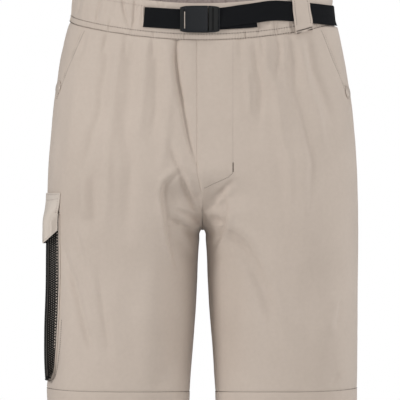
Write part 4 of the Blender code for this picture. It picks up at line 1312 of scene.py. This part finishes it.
# %% Snap caps
# Columns: radius and height of each ring, from the rim's foot to the middle
SNAP_RINGS = (
    (8.4, 0.0), (8.7, 0.5), (8.7, 0.9), (8.3, 1.5), (7.6, 1.85), (7.0, 1.75),
    (6.6, 1.5), (6.3, 1.7), (5.8, 2.15), (4.4, 2.45), (2.6, 2.56), (1.1, 2.6),
)


def make_cap(name, half, z, x):
    """A cap on the cloth, with its axis along the cloth's own direction."""
    share = share_of_x(z, x)
    seat = cloth(half, z, share, 0.35)
    normal = look_up(CHART_NORMALS, z, share) * np.array((half, 1.0, 1.0))
    bpy.ops.object.select_all(action="DESELECT")
    bpy.ops.mesh.primitive_circle_add(vertices=32, radius=SNAP_RINGS[0][0] * MM, fill_type="NGON")
    cap = bpy.context.object
    cap.name = name
    bpy.ops.object.mode_set(mode="EDIT")
    bpy.ops.mesh.select_all(action="SELECT")
    for (before, low), (radius, height) in zip(SNAP_RINGS, SNAP_RINGS[1:]):
        bpy.ops.mesh.extrude_region_move(TRANSFORM_OT_translate={"value": (0.0, 0.0, (height - low) * MM)})
        bpy.ops.transform.resize(value=(radius / before,) * 2 + (1.0,))
    bpy.ops.mesh.select_all(action="DESELECT")
    bpy.ops.object.mode_set(mode="OBJECT")
    bm = bmesh.new()
    bm.from_mesh(cap.data)
    rims = [edge for edge in bm.edges if edge.is_boundary]
    if rims:
        bmesh.ops.holes_fill(bm, edges=rims)
    bmesh.ops.recalc_face_normals(bm, faces=bm.faces[:])
    bm.to_mesh(cap.data)
    bm.free()
    turn = Vector(normal).to_track_quat("Z", "Y").to_matrix().to_4x4()
    cap.data.transform(turn)
    cap.data.transform(Matrix.Translation(Vector(seat) * MM))
    cap.data.polygons.foreach_set("use_smooth", [True] * len(cap.data.polygons))
    cap.data.set_sharp_from_angle(angle=math.radians(60))
    return cap


for name, node, half, z, x in (
    ("snap_cap_right", "snap_right", -1, -87.0, 186.3),
    ("snap_cap_left", "snap_left", 1, -93.0, 187.5),
):
    cap = make_cap(name, half, z, x)
    declare(cap, SNAP_LOOK, (node,))
print("two snap caps of", len(cap.data.polygons), "faces")

# %% [markdown]
# The cargo pocket on the wearer's right leg is a bellows of black mesh. Under its outer face and its sides
# lies a plain grey sheet, painted shade for the pocket's dark inside, made lighter as painted light where
# light shows through the holes. Black knitted net lies over it, and a smooth binding runs round the shared
# edge of face and sides. The net is made flat from six-sided cells with a hole in each, is laid on the sheet
# point by point, and then gets its thickness from Solidify.

# %% Cargo pocket form, in the half at +X and mirrored onto the right leg
POCKET_FOOT_Z = -466.5
POCKET_CORNER_Z = -454.0
POCKET_ATTACH = (58.0, -85.0)
GUSSET_FOOT_Z = -464.6
FACE_PLAN = table(
    "share, x, y",
    (0.0, 203.0, -52.0),
    (0.3, 205.5, -18.0),
    (0.55, 205.3, 12.0),
    (0.8, 200.6, 47.0),
    (1.0, 187.0, 78.0),
)
FACE_FLARE = table(
    "height, out",
    (-250, -3.2),
    (-285, -2.4),
    (-350, -1.7),
    (-402, 0.0),
    (-455, -0.6),
    (-467, -1.4),
)
FACE_CORNER = 0.09
FACE_TOP_Z = -250.0
BELLOWS = 2.2
fine_shares = np.linspace(0.0, 1.0, 101)
plan_x, plan_y = (smooth_line(FACE_PLAN, column, fine_shares) for column in ("x", "y"))
plan_run = np.stack([np.gradient(plan_x), np.gradient(plan_y)])
plan_run /= np.linalg.norm(plan_run, axis=0)
plan_length = float(np.hypot(np.diff(plan_x), np.diff(plan_y)).sum())
flare_heights = np.linspace(-467.0, -250.0, 90)
flare_out = smooth_line(FACE_FLARE, "out", flare_heights)


def face_point(z, share, inset=0.0):
    """Points of the pocket's outer face, or behind it by an inset."""
    z, share, inset = alike(z, share, inset)
    out = np.interp(z, flare_heights, flare_out)
    x, y = np.interp(share, fine_shares, plan_x), np.interp(share, fine_shares, plan_y)
    run_x, run_y = np.interp(share, fine_shares, plan_run[0]), np.interp(share, fine_shares, plan_run[1])
    return np.stack([-(x + out - run_y * inset), y + run_x * inset, z], axis=-1)


def leg_point(z, length, lift):
    """Points off the right leg, by height and length forward from the side."""
    z, length = alike(z, length)
    share = np.where(length > 0, length / span(z), length / span(z, False))
    return cloth(-1, z, share, lift)


def face_span(z):
    """First and last share of a row of the face, which has cut-off lower corners."""
    corner = FACE_CORNER * ease((POCKET_CORNER_Z - z) / (POCKET_CORNER_Z - POCKET_FOOT_Z))
    return corner, 1.0 - corner


# %% Face and bellows shade sheets, painted shade and light
face_heights = np.concatenate(
    [np.arange(FACE_TOP_Z, POCKET_CORNER_Z, -4.0), np.linspace(POCKET_CORNER_Z, POCKET_FOOT_Z, 9)]
)
face_rows = np.array([np.linspace(*face_span(z), 48) for z in face_heights])
face_z = np.broadcast_to(face_heights[:, None], face_rows.shape)
face_maps = np.stack([face_rows * plan_length * MM, face_z * MM], axis=-1)
# Grey sheet behind the face's net, painted shade for the pocket's inside and painted light through the holes.
face_shade_sheet = shell(
    "pocket_face_shade_sheet", face_point(face_z, face_rows, 0.5), face_point(face_z, face_rows, 1.15), face_maps
)

FRONT_ATTACH = table(
    "height, length",
    (-250, 62.0),
    (-318, 61.5),
    (-350, 59.5),
    (-376, 57.0),
    (-402, 54.0),
    (-430, 49.5),
    (-454, 43.0),
)
side_heights = np.linspace(FACE_TOP_Z, POCKET_CORNER_Z, 14)
front_length, back_length = POCKET_ATTACH
down = [(0.012, z, smooth(FRONT_ATTACH, "length", z), z) for z in side_heights]
up = [(0.988, z, back_length, z) for z in side_heights[::-1]]
across_foot = [
    (share, GUSSET_FOOT_Z, front_length + (back_length - front_length) * (0.06 + 0.88 * share), GUSSET_FOOT_Z)
    for share in (0.1, 0.2, 0.32, 0.44, 0.56, 0.68, 0.8, 0.9)
]
bellows_keys = np.array([*down, *across_foot, *up])
key_points = face_point(bellows_keys[:, 1], bellows_keys[:, 0], 1.5)
key_marks = np.concatenate([[0.0], np.cumsum(np.linalg.norm(np.diff(key_points, axis=0), axis=1))])
BELLOWS_LENGTH = float(key_marks[-1])
bellows_marks = np.linspace(0.0, BELLOWS_LENGTH, 260)
b_share, b_z, b_length, b_leg = (np.interp(bellows_marks, key_marks, bellows_keys[:, i]) for i in range(4))
sewn_line = leg_point(b_leg, b_length, 0.9)
edge_line = face_point(b_z, b_share, 1.5)
pocket_middle = (sewn_line.mean(axis=0) + edge_line.mean(axis=0)) / 2
reach = edge_line - sewn_line
depth_line = np.linalg.norm(reach, axis=1)
inward_line = np.cross(np.gradient(edge_line, axis=0), reach)
inward_line /= np.linalg.norm(inward_line, axis=1, keepdims=True)
inward_line *= np.sign(np.einsum("ij,ij->i", inward_line, pocket_middle - edge_line))[:, None]


def bellows_point(mark, across, out):
    """Points of the bellows by length along it, share from leg to face, and distance outwards."""
    mark, across, out = alike(mark, across, out)
    sewn, edge, inward = (
        np.stack([np.interp(mark, bellows_marks, line[:, i]) for i in range(3)], axis=-1)
        for line in (sewn_line, edge_line, inward_line)
    )
    depth = np.interp(mark, bellows_marks, depth_line)
    bow = BELLOWS * 4 * across * (1 - across) * np.clip(depth / 14.0, 0.0, 1.0)
    bow = bow * (0.9 + 0.35 * np.sin(mark / 17.0))
    return sewn + (edge - sewn) * across[..., None] + inward * (bow - out)[..., None]


across_shares = np.linspace(0.0, 1.0, 9)
mark_grid, share_grid = np.meshgrid(bellows_marks, across_shares, indexing="ij")
bellows_maps = np.stack([mark_grid * MM, share_grid * 0.018], axis=-1)
bellows_outer = bellows_point(mark_grid, share_grid, 0.0)
bellows_inner = bellows_point(mark_grid, share_grid, -0.8)
# The bellows' sheet is painted shade and light in the same way.
bellows_shade_sheet = shell("pocket_bellows_shade_sheet", bellows_outer, bellows_inner, bellows_maps)
declare(
    face_shade_sheet, PAINTED_SHADE_SHEET_LOOK, ("cargo_face",),
)
declare(
    bellows_shade_sheet, PAINTED_SHADE_SHEET_LOOK, ("cargo_gusset",),
)
print("depth of the bellows along it:", depth_line.round()[::40])


# %% Knitted net
NET_WALL = 0.4
ROW_STEP = 0.866


def hex_net(name, length, width, pitch, hole, keep, to_points):
    """A net of six-sided cells in a plane, laid onto a surface and thickened."""
    radius = pitch / math.sqrt(3.0)
    turns = np.radians(np.arange(6) * 60.0 + 30.0)
    ring = np.stack([np.cos(turns), np.sin(turns)], axis=-1) * radius
    centres = []
    for row in range(int(width / (pitch * ROW_STEP))):
        b = radius + row * pitch * ROW_STEP
        for column in range(int(length / pitch)):
            a = pitch / 2 + (column + 0.5 * (row % 2)) * pitch
            if a + pitch / 2 <= length and b + radius <= width and keep(a, b):
                centres.append((a, b))
    centres = np.array(centres)
    outer = (centres[:, None, :] + ring[None]).reshape(-1, 2)
    holes = (centres[:, None, :] + ring[None] * hole).reshape(-1, 2)
    corners, index = np.unique(np.round(outer / 0.01).astype(int), axis=0, return_inverse=True)
    index = index.reshape(-1, 6)
    flat_points = np.concatenate([corners * 0.01, holes])
    inside = np.arange(len(holes)).reshape(-1, 6) + len(corners)
    faces = []
    for side in range(6):
        other = (side + 1) % 6
        faces.append(np.stack([index[:, side], index[:, other], inside[:, other], inside[:, side]], axis=-1))
    laid = to_points(flat_points[:, 0], flat_points[:, 1])
    piece = link_mesh(name, laid, np.concatenate(faces).tolist(), flat_points * MM)
    bpy.ops.object.select_all(action="DESELECT")
    bpy.context.view_layer.objects.active = piece
    piece.select_set(True)
    thick = piece.modifiers.new("thickness", "SOLIDIFY")
    thick.thickness = NET_WALL * MM
    thick.offset = 0.0
    bpy.ops.object.modifier_apply(modifier="thickness")
    piece.data.shade_smooth()
    piece.data.set_sharp_from_angle(angle=math.radians(40))
    piece.select_set(False)
    print(name, len(centres), "cells,", len(piece.data.polygons), "faces")
    return piece


def on_face(a, b):
    """Points of the face's net, by length from the front and distance down."""
    z = FACE_TOP_Z - 1.0 - b
    return face_point(z, np.clip(a / plan_length, *face_span(z)), 0.2)


def on_bellows(a, b):
    """Points of the bellows' net, by length along it and distance in from the face."""
    return bellows_point(a, 1.0 - b / np.interp(a, bellows_marks, depth_line).clip(3.0), 0.3)


NET_SCALE = 1.0
face_net = hex_net(
    "pocket_face_net", plan_length, 214.0, 3.6 * NET_SCALE, 0.52, lambda a, b: True, on_face,
)
bellows_net = hex_net(
    "pocket_bellows_net", BELLOWS_LENGTH, 40.0, 3.0, 0.56,
    lambda a, b: b + 1.5 < np.interp(a, bellows_marks, depth_line), on_bellows,
)
for net in (face_net, bellows_net):
    declare(net, NET_LOOK)

# %% [markdown]
# Round cords of cloth finish the pocket's edges: a smooth black binding where face and bellows meet, and a
# taupe lip where the bellows is sewn to the leg.


# %% Bindings
def sweep(name, path, normals, wide, tall, look, sides=10):
    """A closed oval tube along a path. It is wide across the normals and tall along them."""
    path, normals = np.asarray(path), np.asarray(normals)
    tangent = np.gradient(path, axis=0)
    tangent /= np.linalg.norm(tangent, axis=1, keepdims=True)
    aside = np.cross(normals, tangent)
    aside /= np.linalg.norm(aside, axis=1, keepdims=True)
    turns = np.linspace(0.0, 2 * math.pi, sides, endpoint=False)
    ring = aside[:, None] * np.cos(turns)[None, :, None] * wide / 2
    ring = ring + normals[:, None] * np.sin(turns)[None, :, None] * tall / 2
    points = path[:, None] + ring
    rows = len(path)
    faces = grid_faces(rows, sides, 0, True, False).tolist()
    faces += [list(range(sides))[::-1], [(rows - 1) * sides + i for i in range(sides)]]
    along = np.concatenate([[0.0], np.cumsum(np.linalg.norm(np.diff(path, axis=0), axis=1))])
    maps = np.stack(alike(along[:, None] * MM, turns[None, :] * wide / 2 * MM), axis=-1).reshape(-1, 2)
    piece = link_mesh(name, points.reshape(-1, 3), faces, maps)
    close_up(piece, 60)
    piece.data.materials.append(look)
    return piece


binding_share = np.clip(b_share, 0.006, 0.994)
binding_path = face_point(np.where(b_z <= GUSSET_FOOT_Z + 0.01, -465.6, b_z), binding_share, 1.25)
binding_normal = face_point(b_z, binding_share, 0.0) - face_point(b_z, binding_share, 1.0)
binding = sweep("pocket_binding", binding_path, binding_normal, 3.0, 3.4, BINDING_LOOK)
declare(binding, BINDING_LOOK)

leg_normal = leg_point(b_leg, b_length, 2.0) - leg_point(b_leg, b_length, 1.0)
lip_path = leg_point(b_leg, b_length, 0.75)
lip = sweep("pocket_lip", lip_path, leg_normal, 2.6, 1.9, CLOTH_LOOK, 12)
declare(lip, CLOTH_LOOK)

# %% [markdown]
# The flap is two layers of the shorts' cloth. It is sewn flat to the leg along its top, swells over the
# bellows and wraps round its front edge, where it ends in a slanted corner.

# %% Flap
FLAP_TOP_Z = -223.6
FLAP_TURN_Z = -262.0
FLAP_SEAT = 0.8
FLAP_TOP = (66.0, -98.0)
FLAP_PLAN = table(
    "share, x, y, foot",
    (0.0, 188.5, -58.5, -272),
    (0.04, 196.0, -60.5, -279),
    (0.08, 202.6, -60.0, -285),
    (0.12, 206.0, -56.0, -287),
    (0.18, 207.4, -46.0, -289),
    (0.3, 208.0, -28.0, -289),
    (0.45, 208.2, -6.0, -289),
    (0.6, 208.0, 16.0, -289),
    (0.75, 205.6, 38.0, -289),
    (0.88, 199.6, 60.0, -287),
    (0.95, 194.0, 74.0, -283),
    (1.0, 188.5, 83.0, -276),
)
FLAP_WALL = 1.1
FLAP_ROWS = (0.03, 0.14)
FLAP_FRONT_EDGE = (0.0, 0.004, 0.012, 0.024, 0.04, 0.058, 0.076, 0.094, 0.112, 0.13, 0.15)


def flap_points(across, down):
    """Points of the flap's outside, by shares from front to back and from its top to its free edge."""
    across, down = alike(across, down)
    x, y, foot = (np.interp(across, FLAP_PLAN["share"], FLAP_PLAN[name]) for name in ("x", "y", "foot"))
    z = FLAP_TOP_Z + (foot - FLAP_TOP_Z) * down
    length = FLAP_TOP[0] + (FLAP_TOP[1] - FLAP_TOP[0]) * across
    swell = ease((FLAP_TOP_Z - z) / (FLAP_TOP_Z - FLAP_TURN_Z) * 0.9 + 0.1 * down)
    sewn = leg_point(z, length, FLAP_SEAT + 1.2)
    return sewn + (np.stack([-x, y, z], axis=-1) - sewn) * swell[..., None]


def grid_normals(points):
    """Directions off a grid of points, all towards the wearer's right."""
    normals = np.cross(np.gradient(points, axis=0), np.gradient(points, axis=1))
    normals /= np.maximum(np.linalg.norm(normals, axis=2, keepdims=True), 1e-9)
    return normals * np.sign(-normals[..., 0:1] + 1e-9)


flap_across = np.concatenate([FLAP_FRONT_EDGE, np.linspace(0.18, 1.0, 46)])
flap_down = np.concatenate([[0.0, 0.012, 0.03], np.linspace(0.06, 0.95, 30), [0.975, 0.99, 1.0]])
across_grid, down_grid = np.meshgrid(flap_across, flap_down)
flap_grid = flap_points(across_grid, down_grid)
flap_normals = grid_normals(flap_grid)
rows_fold = -0.25 * np.exp(-(((down_grid - FLAP_ROWS[0]) / 0.02) ** 2))
rows_fold = rows_fold - 0.3 * np.exp(-(((down_grid - FLAP_ROWS[1]) / 0.025) ** 2))
rim_fold = -0.4 * np.exp(-((1.0 - down_grid) / 0.012)) - 0.4 * np.exp(-(across_grid / 0.006))
flap_lift = rows_fold + rim_fold + 0.3 * drift(flap_grid, (9, 12, 14), 29) * ease(down_grid * 3) - 0.15
flap_outer = flap_grid + flap_normals * flap_lift[..., None]
flap_inner = flap_outer - flap_normals * (FLAP_WALL - 0.5 * np.exp(-((1.0 - down_grid) / 0.01)))[..., None]
flap_maps = np.stack([across_grid * 0.158, (1.0 - down_grid) * 0.065], axis=-1)
flap = shell("pocket_flap_cloth", flap_outer, flap_inner, flap_maps)
# The lighter copy of the cloth is painted light on the flap.
declare(flap, FLAP_PAINTED_LIGHT_LOOK, ("cargo_flap",))

# %% [markdown]
# Stitches are what makes cloth look sewn. One stitch is modelled, as a small long bead, and copied along
# every sewn line, set down on the cloth and turned along the line. A line is given by its points on the
# garment.


# %% One stitch
def make_stitch(length, width, height):
    """Vertices and faces of a single bead, long in x."""
    bpy.ops.object.select_all(action="DESELECT")
    bpy.ops.mesh.primitive_ico_sphere_add(subdivisions=1, radius=0.5)
    bead = bpy.context.object
    bpy.ops.object.mode_set(mode="EDIT")
    bpy.ops.mesh.select_all(action="SELECT")
    bpy.ops.transform.resize(value=(length, width, height))
    bpy.ops.object.mode_set(mode="OBJECT")
    vertices = np.array([v.co[:] for v in bead.data.vertices])
    faces = np.array([f.vertices[:] for f in bead.data.polygons])
    bpy.data.objects.remove(bead, do_unlink=True)
    return vertices, faces


def sew(points, away, pitch):
    """Seats of stitches at even steps of a line: place, direction along it and direction off the cloth."""
    points, away = np.asarray(points), np.asarray(away)
    marks = np.concatenate([[0.0], np.cumsum(np.linalg.norm(np.diff(points, axis=0), axis=1))])
    count = max(2, int(marks[-1] / pitch))
    at = (np.arange(count) + 0.5) * marks[-1] / count
    place = np.stack([np.interp(at, marks, points[:, i]) for i in range(3)], axis=-1)
    ahead = np.stack([np.interp(at + 0.4, marks, points[:, i]) for i in range(3)], axis=-1)
    behind = np.stack([np.interp(at - 0.4, marks, points[:, i]) for i in range(3)], axis=-1)
    off = np.stack([np.interp(at, marks, away[:, i]) for i in range(3)], axis=-1)
    along = ahead - behind
    return place, along / np.linalg.norm(along, axis=1, keepdims=True), off


def lay_stitches(name, seams, size=(1.6, 0.85, 0.7), look=THREAD_LOOK, turned=False):
    """One mesh of stitches for several sewn lines."""
    template, faces = make_stitch(*size)
    place, along, off = (np.concatenate(parts) for parts in zip(*seams))
    off = off - along * np.einsum("ij,ij->i", along, off)[:, None]
    off /= np.linalg.norm(off, axis=1, keepdims=True)
    aside = np.cross(off, along)
    if turned:
        along, aside = aside, -along
    points = place[:, None] + along[:, None] * template[None, :, 0:1]
    points = points + aside[:, None] * template[None, :, 1:2] + off[:, None] * template[None, :, 2:3]
    steps = np.arange(len(place))[:, None, None] * len(template)
    piece = link_mesh(name, points.reshape(-1, 3), (faces[None] + steps).reshape(-1, 3).tolist())
    piece.data.shade_smooth()
    declare(piece, look)
    print(name, len(place), "stitches")


def on_cloth(half, z, share, lift=0.05):
    """Points on the cloth, lifted off it a little, and the directions off it."""
    z, share = alike(z, share)
    points = cloth(half, z, share, lift)
    return points, cloth(half, z, share, lift + 1.0) - points


def front_line(points, lift=0.05, fine=1.5):
    """A line in the front view, by x and z, laid on the front of the cloth."""
    ends = np.array(points, float)
    marks = np.concatenate([[0.0], np.cumsum(np.hypot(*np.diff(ends, axis=0).T))])
    at = np.linspace(0.0, marks[-1], max(3, int(marks[-1] / fine)))
    x, z = np.interp(at, marks, ends[:, 0]), np.interp(at, marks, ends[:, 1])
    half = 1.0 if x.mean() > 0 else -1.0
    share = np.array([share_of_x(b, half * a) for a, b in zip(x, z)])
    return on_cloth(half, z, share, lift)


# %% Sewn lines
STITCH = 2.4
seams = []
for side in (1, -1):
    for row in (5.2, 8.4):
        base = np.linspace(-4.0, -101.0, 60)
        length = straight(POCKET_LINE, "mouth", base) + row - 3.4
        share = length / span(base)
        z = row_height(base, share)
        share = length / span(z)
        seams.append(sew(*on_cloth(side, z, share, 0.55), STITCH))
lay_stitches("pocket_mouth_stitches", seams)

fly = [sew(*front_line([(39.3, -26), (39.3, -184)]), STITCH)]
lay_stitches("fly_stitches", fly, size=(1.4, 0.6, 0.5), look=SHADE_AND_THREAD_LOOK)
lay_stitches("fly_foot_stitches", [sew(*front_line([(39.6, -197), (34, -203), (2, -217.6)]), STITCH)])
tack = [sew(*front_line([(39.6, -184), (39.6, -196.5)], 0.1), 0.75)]
lay_stitches("fly_bartack", tack, size=(2.2, 0.7, 0.7), turned=True)

hem = []
for side in (1, -1):
    share = np.linspace(-0.999, 0.999, 500)
    hem.append(sew(*on_cloth(side, hem_height(share), share, 0.1), STITCH))
lay_stitches("hem_stitches", hem)

seat = []
for side in (1, -1):
    z = np.linspace(10.0, -232.0, 140)
    share = -1.0 + 2.6 / span(z, False)
    seat.append(sew(*on_cloth(side, z, share, 0.1), STITCH))
lay_stitches("seat_seam_stitches", seat)


# %% Stitches on the band, the loop and the pocket
def band_row(height):
    """The places of a row of stitches, read back from the band's mesh, and the level directions off them."""
    line = band_grid[int(np.argmin(np.abs(band_heights - height)))]
    line = np.concatenate([line, line[:1]])
    away = line * np.array((1.0, 1.0, 0.0))
    away /= np.linalg.norm(away, axis=1, keepdims=True)
    return line + away * 0.35, away


BAND_STITCH = 3.7
band_seams = [sew(*band_row(height), BAND_STITCH) for height in STITCH_ROWS]
lay_stitches("band_stitches", band_seams, size=(1.8, 1.5, 1.0))
lay_stitches(
    "band_top_stitches", [sew(*band_row(TOP_STITCH_ROW), STITCH)], size=(1.4, 0.6, 0.5), look=SHADE_AND_THREAD_LOOK,
)

loop_rows = []
for height, slope in zip(LOOP_TACKS, (0.0, LOOP_SLOPE, LOOP_SLOPE)):
    across = np.linspace(-0.46, 0.46, 24)
    x = smooth(LOOP_TRACK, "middle", height) + smooth(LOOP_TRACK, "width", height) * across
    share = np.array([share_of_x(height, v) for v in x])
    z = height + slope * across
    up = smooth(LOOP_TRACK, "lift", height) + LOOP_WALL - 0.35
    points = smooth_band(1, z, share, up)
    loop_rows.append(sew(points, smooth_band(1, z, share, up + 1.0) - points, 0.8))
lay_stitches("loop_bartacks", loop_rows, size=(2.0, 0.6, 0.6), turned=True)
loop_edges = []
for side in (-0.38, 0.38):
    z = np.linspace(30.0, -6.0, 40)
    middle, width, lift = (smooth_line(LOOP_TRACK, column, z) for column in ("middle", "width", "lift"))
    share = np.array([share_of_x(v, m) for v, m in zip(z, middle + width * side)])
    up = lift + LOOP_WALL * 0.55
    slope = z + side * LOOP_SLOPE * ease((-2.0 - z) / 8.0)
    points = smooth_band(1, slope, share, up)
    loop_edges.append(sew(points, smooth_band(1, slope, share, up + 1.0) - points, 2.6))
lay_stitches("loop_edge_stitches", loop_edges)


def on_flap(across, down):
    """A line over the flap, with the directions off it."""
    row = np.interp(down, flap_down, np.arange(len(flap_down)))
    column = np.interp(across, flap_across, np.arange(len(flap_across)))
    r = np.clip(row.astype(int), 0, len(flap_down) - 2)
    c = np.clip(column.astype(int), 0, len(flap_across) - 2)
    fr, fc = (row - r)[:, None], (column - c)[:, None]

    def mix(grid):
        """A grid's values at the line's places."""
        top = grid[r, c] * (1 - fc) + grid[r, c + 1] * fc
        return top * (1 - fr) + (grid[r + 1, c] * (1 - fc) + grid[r + 1, c + 1] * fc) * fr

    return mix(flap_outer) + mix(flap_normals) * 0.12, mix(flap_normals)


flap_rows = []
for down in (0.035, 0.14):
    across = np.linspace(0.01, 0.99, 160)
    flap_rows.append(sew(*on_flap(across, np.full(160, down)), STITCH))
across = np.concatenate([np.full(40, 0.02), np.linspace(0.02, 0.98, 160), np.full(40, 0.98)])
down = np.concatenate([np.linspace(0.05, 0.955, 40), np.full(160, 0.955), np.linspace(0.955, 0.05, 40)])
flap_rows.append(sew(*on_flap(across, down), STITCH))
lay_stitches("flap_stitches", flap_rows, size=(1.5, 0.6, 0.5), look=SHADE_AND_THREAD_LOOK)

pocket_rows = []
marks = np.linspace(2.0, BELLOWS_LENGTH - 2.0, 320)
marks = marks[np.interp(marks, bellows_marks, b_leg) < np.where(marks < BELLOWS_LENGTH / 2, -386.0, -255.0)]
z, length = np.interp(marks, bellows_marks, b_leg), np.interp(marks, bellows_marks, b_length)
outside = length + np.where(z > GUSSET_FOOT_Z + 0.5, np.where(length > 0, 7.0, -4.0), 0.0)
z = np.where(z > GUSSET_FOOT_Z + 0.5, z, z + 5.0 * ease((length - 30.0) / 20.0) - 2.4)
points = leg_point(z, outside, 0.25)
pocket_rows.append(sew(points, leg_point(z, outside, 1.25) - points, STITCH))
lay_stitches("pocket_attach_stitches", pocket_rows)
lip_marks = np.linspace(4.0, 176.0, 90)
lip_points = bellows_point(lip_marks, 0.22, 1.1)
print("net stitches from", lip_points[0].round(1), "to", lip_points[-1].round(1))
lay_stitches(
    "pocket_net_stitches", [sew(lip_points, bellows_point(lip_marks, 0.22, 2.1) - lip_points, 4.0)],
    size=(2.3, 1.8, 1.4), look=CLOTH_LOOK,
)

# %% [markdown]
# Inside the crotch a folded tape covers the joint of the centre seams, as a seam's allowance does. A flat
# fold below it closes the top of the gap between the legs.

# %% Tape behind the centre seam
front_z = np.concatenate([np.linspace(-238.0, -255.0, 12), CROTCH_Z + 14.0 * np.linspace(1.0, 0.0, 24) ** 2])
tape_path = []
for share, heights in ((1.0, front_z), (-1.0, front_z[::-1])):
    centre = look_up(CHART, heights + 0.01, np.full(len(heights), share)) * np.array((0.0, 1.0, 1.0))
    tape_path.append(centre)
tape_path = np.concatenate(tape_path)
tape_run = np.gradient(tape_path, axis=0)
tape_away = np.cross(np.broadcast_to((-1.0, 0.0, 0.0), tape_run.shape), tape_run)
tape_away /= np.maximum(np.linalg.norm(tape_away, axis=1, keepdims=True), 1e-9)
tape_away *= np.sign(np.einsum("ij,ij->i", tape_away, tape_path - np.array((0.0, 0.0, -190.0))))[:, None]
# The tape's darker copy of the cloth is painted shade for the shadow in the seam's groove.
tape = sweep("crotch_seam_tape", tape_path - tape_away * 1.9, tape_away, 5.0, 0.9, SHADE_AND_THREAD_LOOK)
declare(tape, SHADE_AND_THREAD_LOOK)
fold_y = np.linspace(-8.0, 32.0, 24)
fold_z = CROTCH_Z - 1.3 + 0.004 * (fold_y - CROTCH_Y) ** 2
fold_path = np.stack([np.zeros_like(fold_y), fold_y, fold_z], axis=-1)
downwards = np.broadcast_to((0.0, 0.0, -1.0), fold_path.shape)
crotch_fold = sweep("crotch_fold", fold_path, downwards, 6.6, 3.0, CLOTH_LOOK)
declare(crotch_fold, CLOTH_LOOK)
print("seam tape", round(float(np.linalg.norm(np.diff(tape_path, axis=0), axis=1).sum())), "mm long")
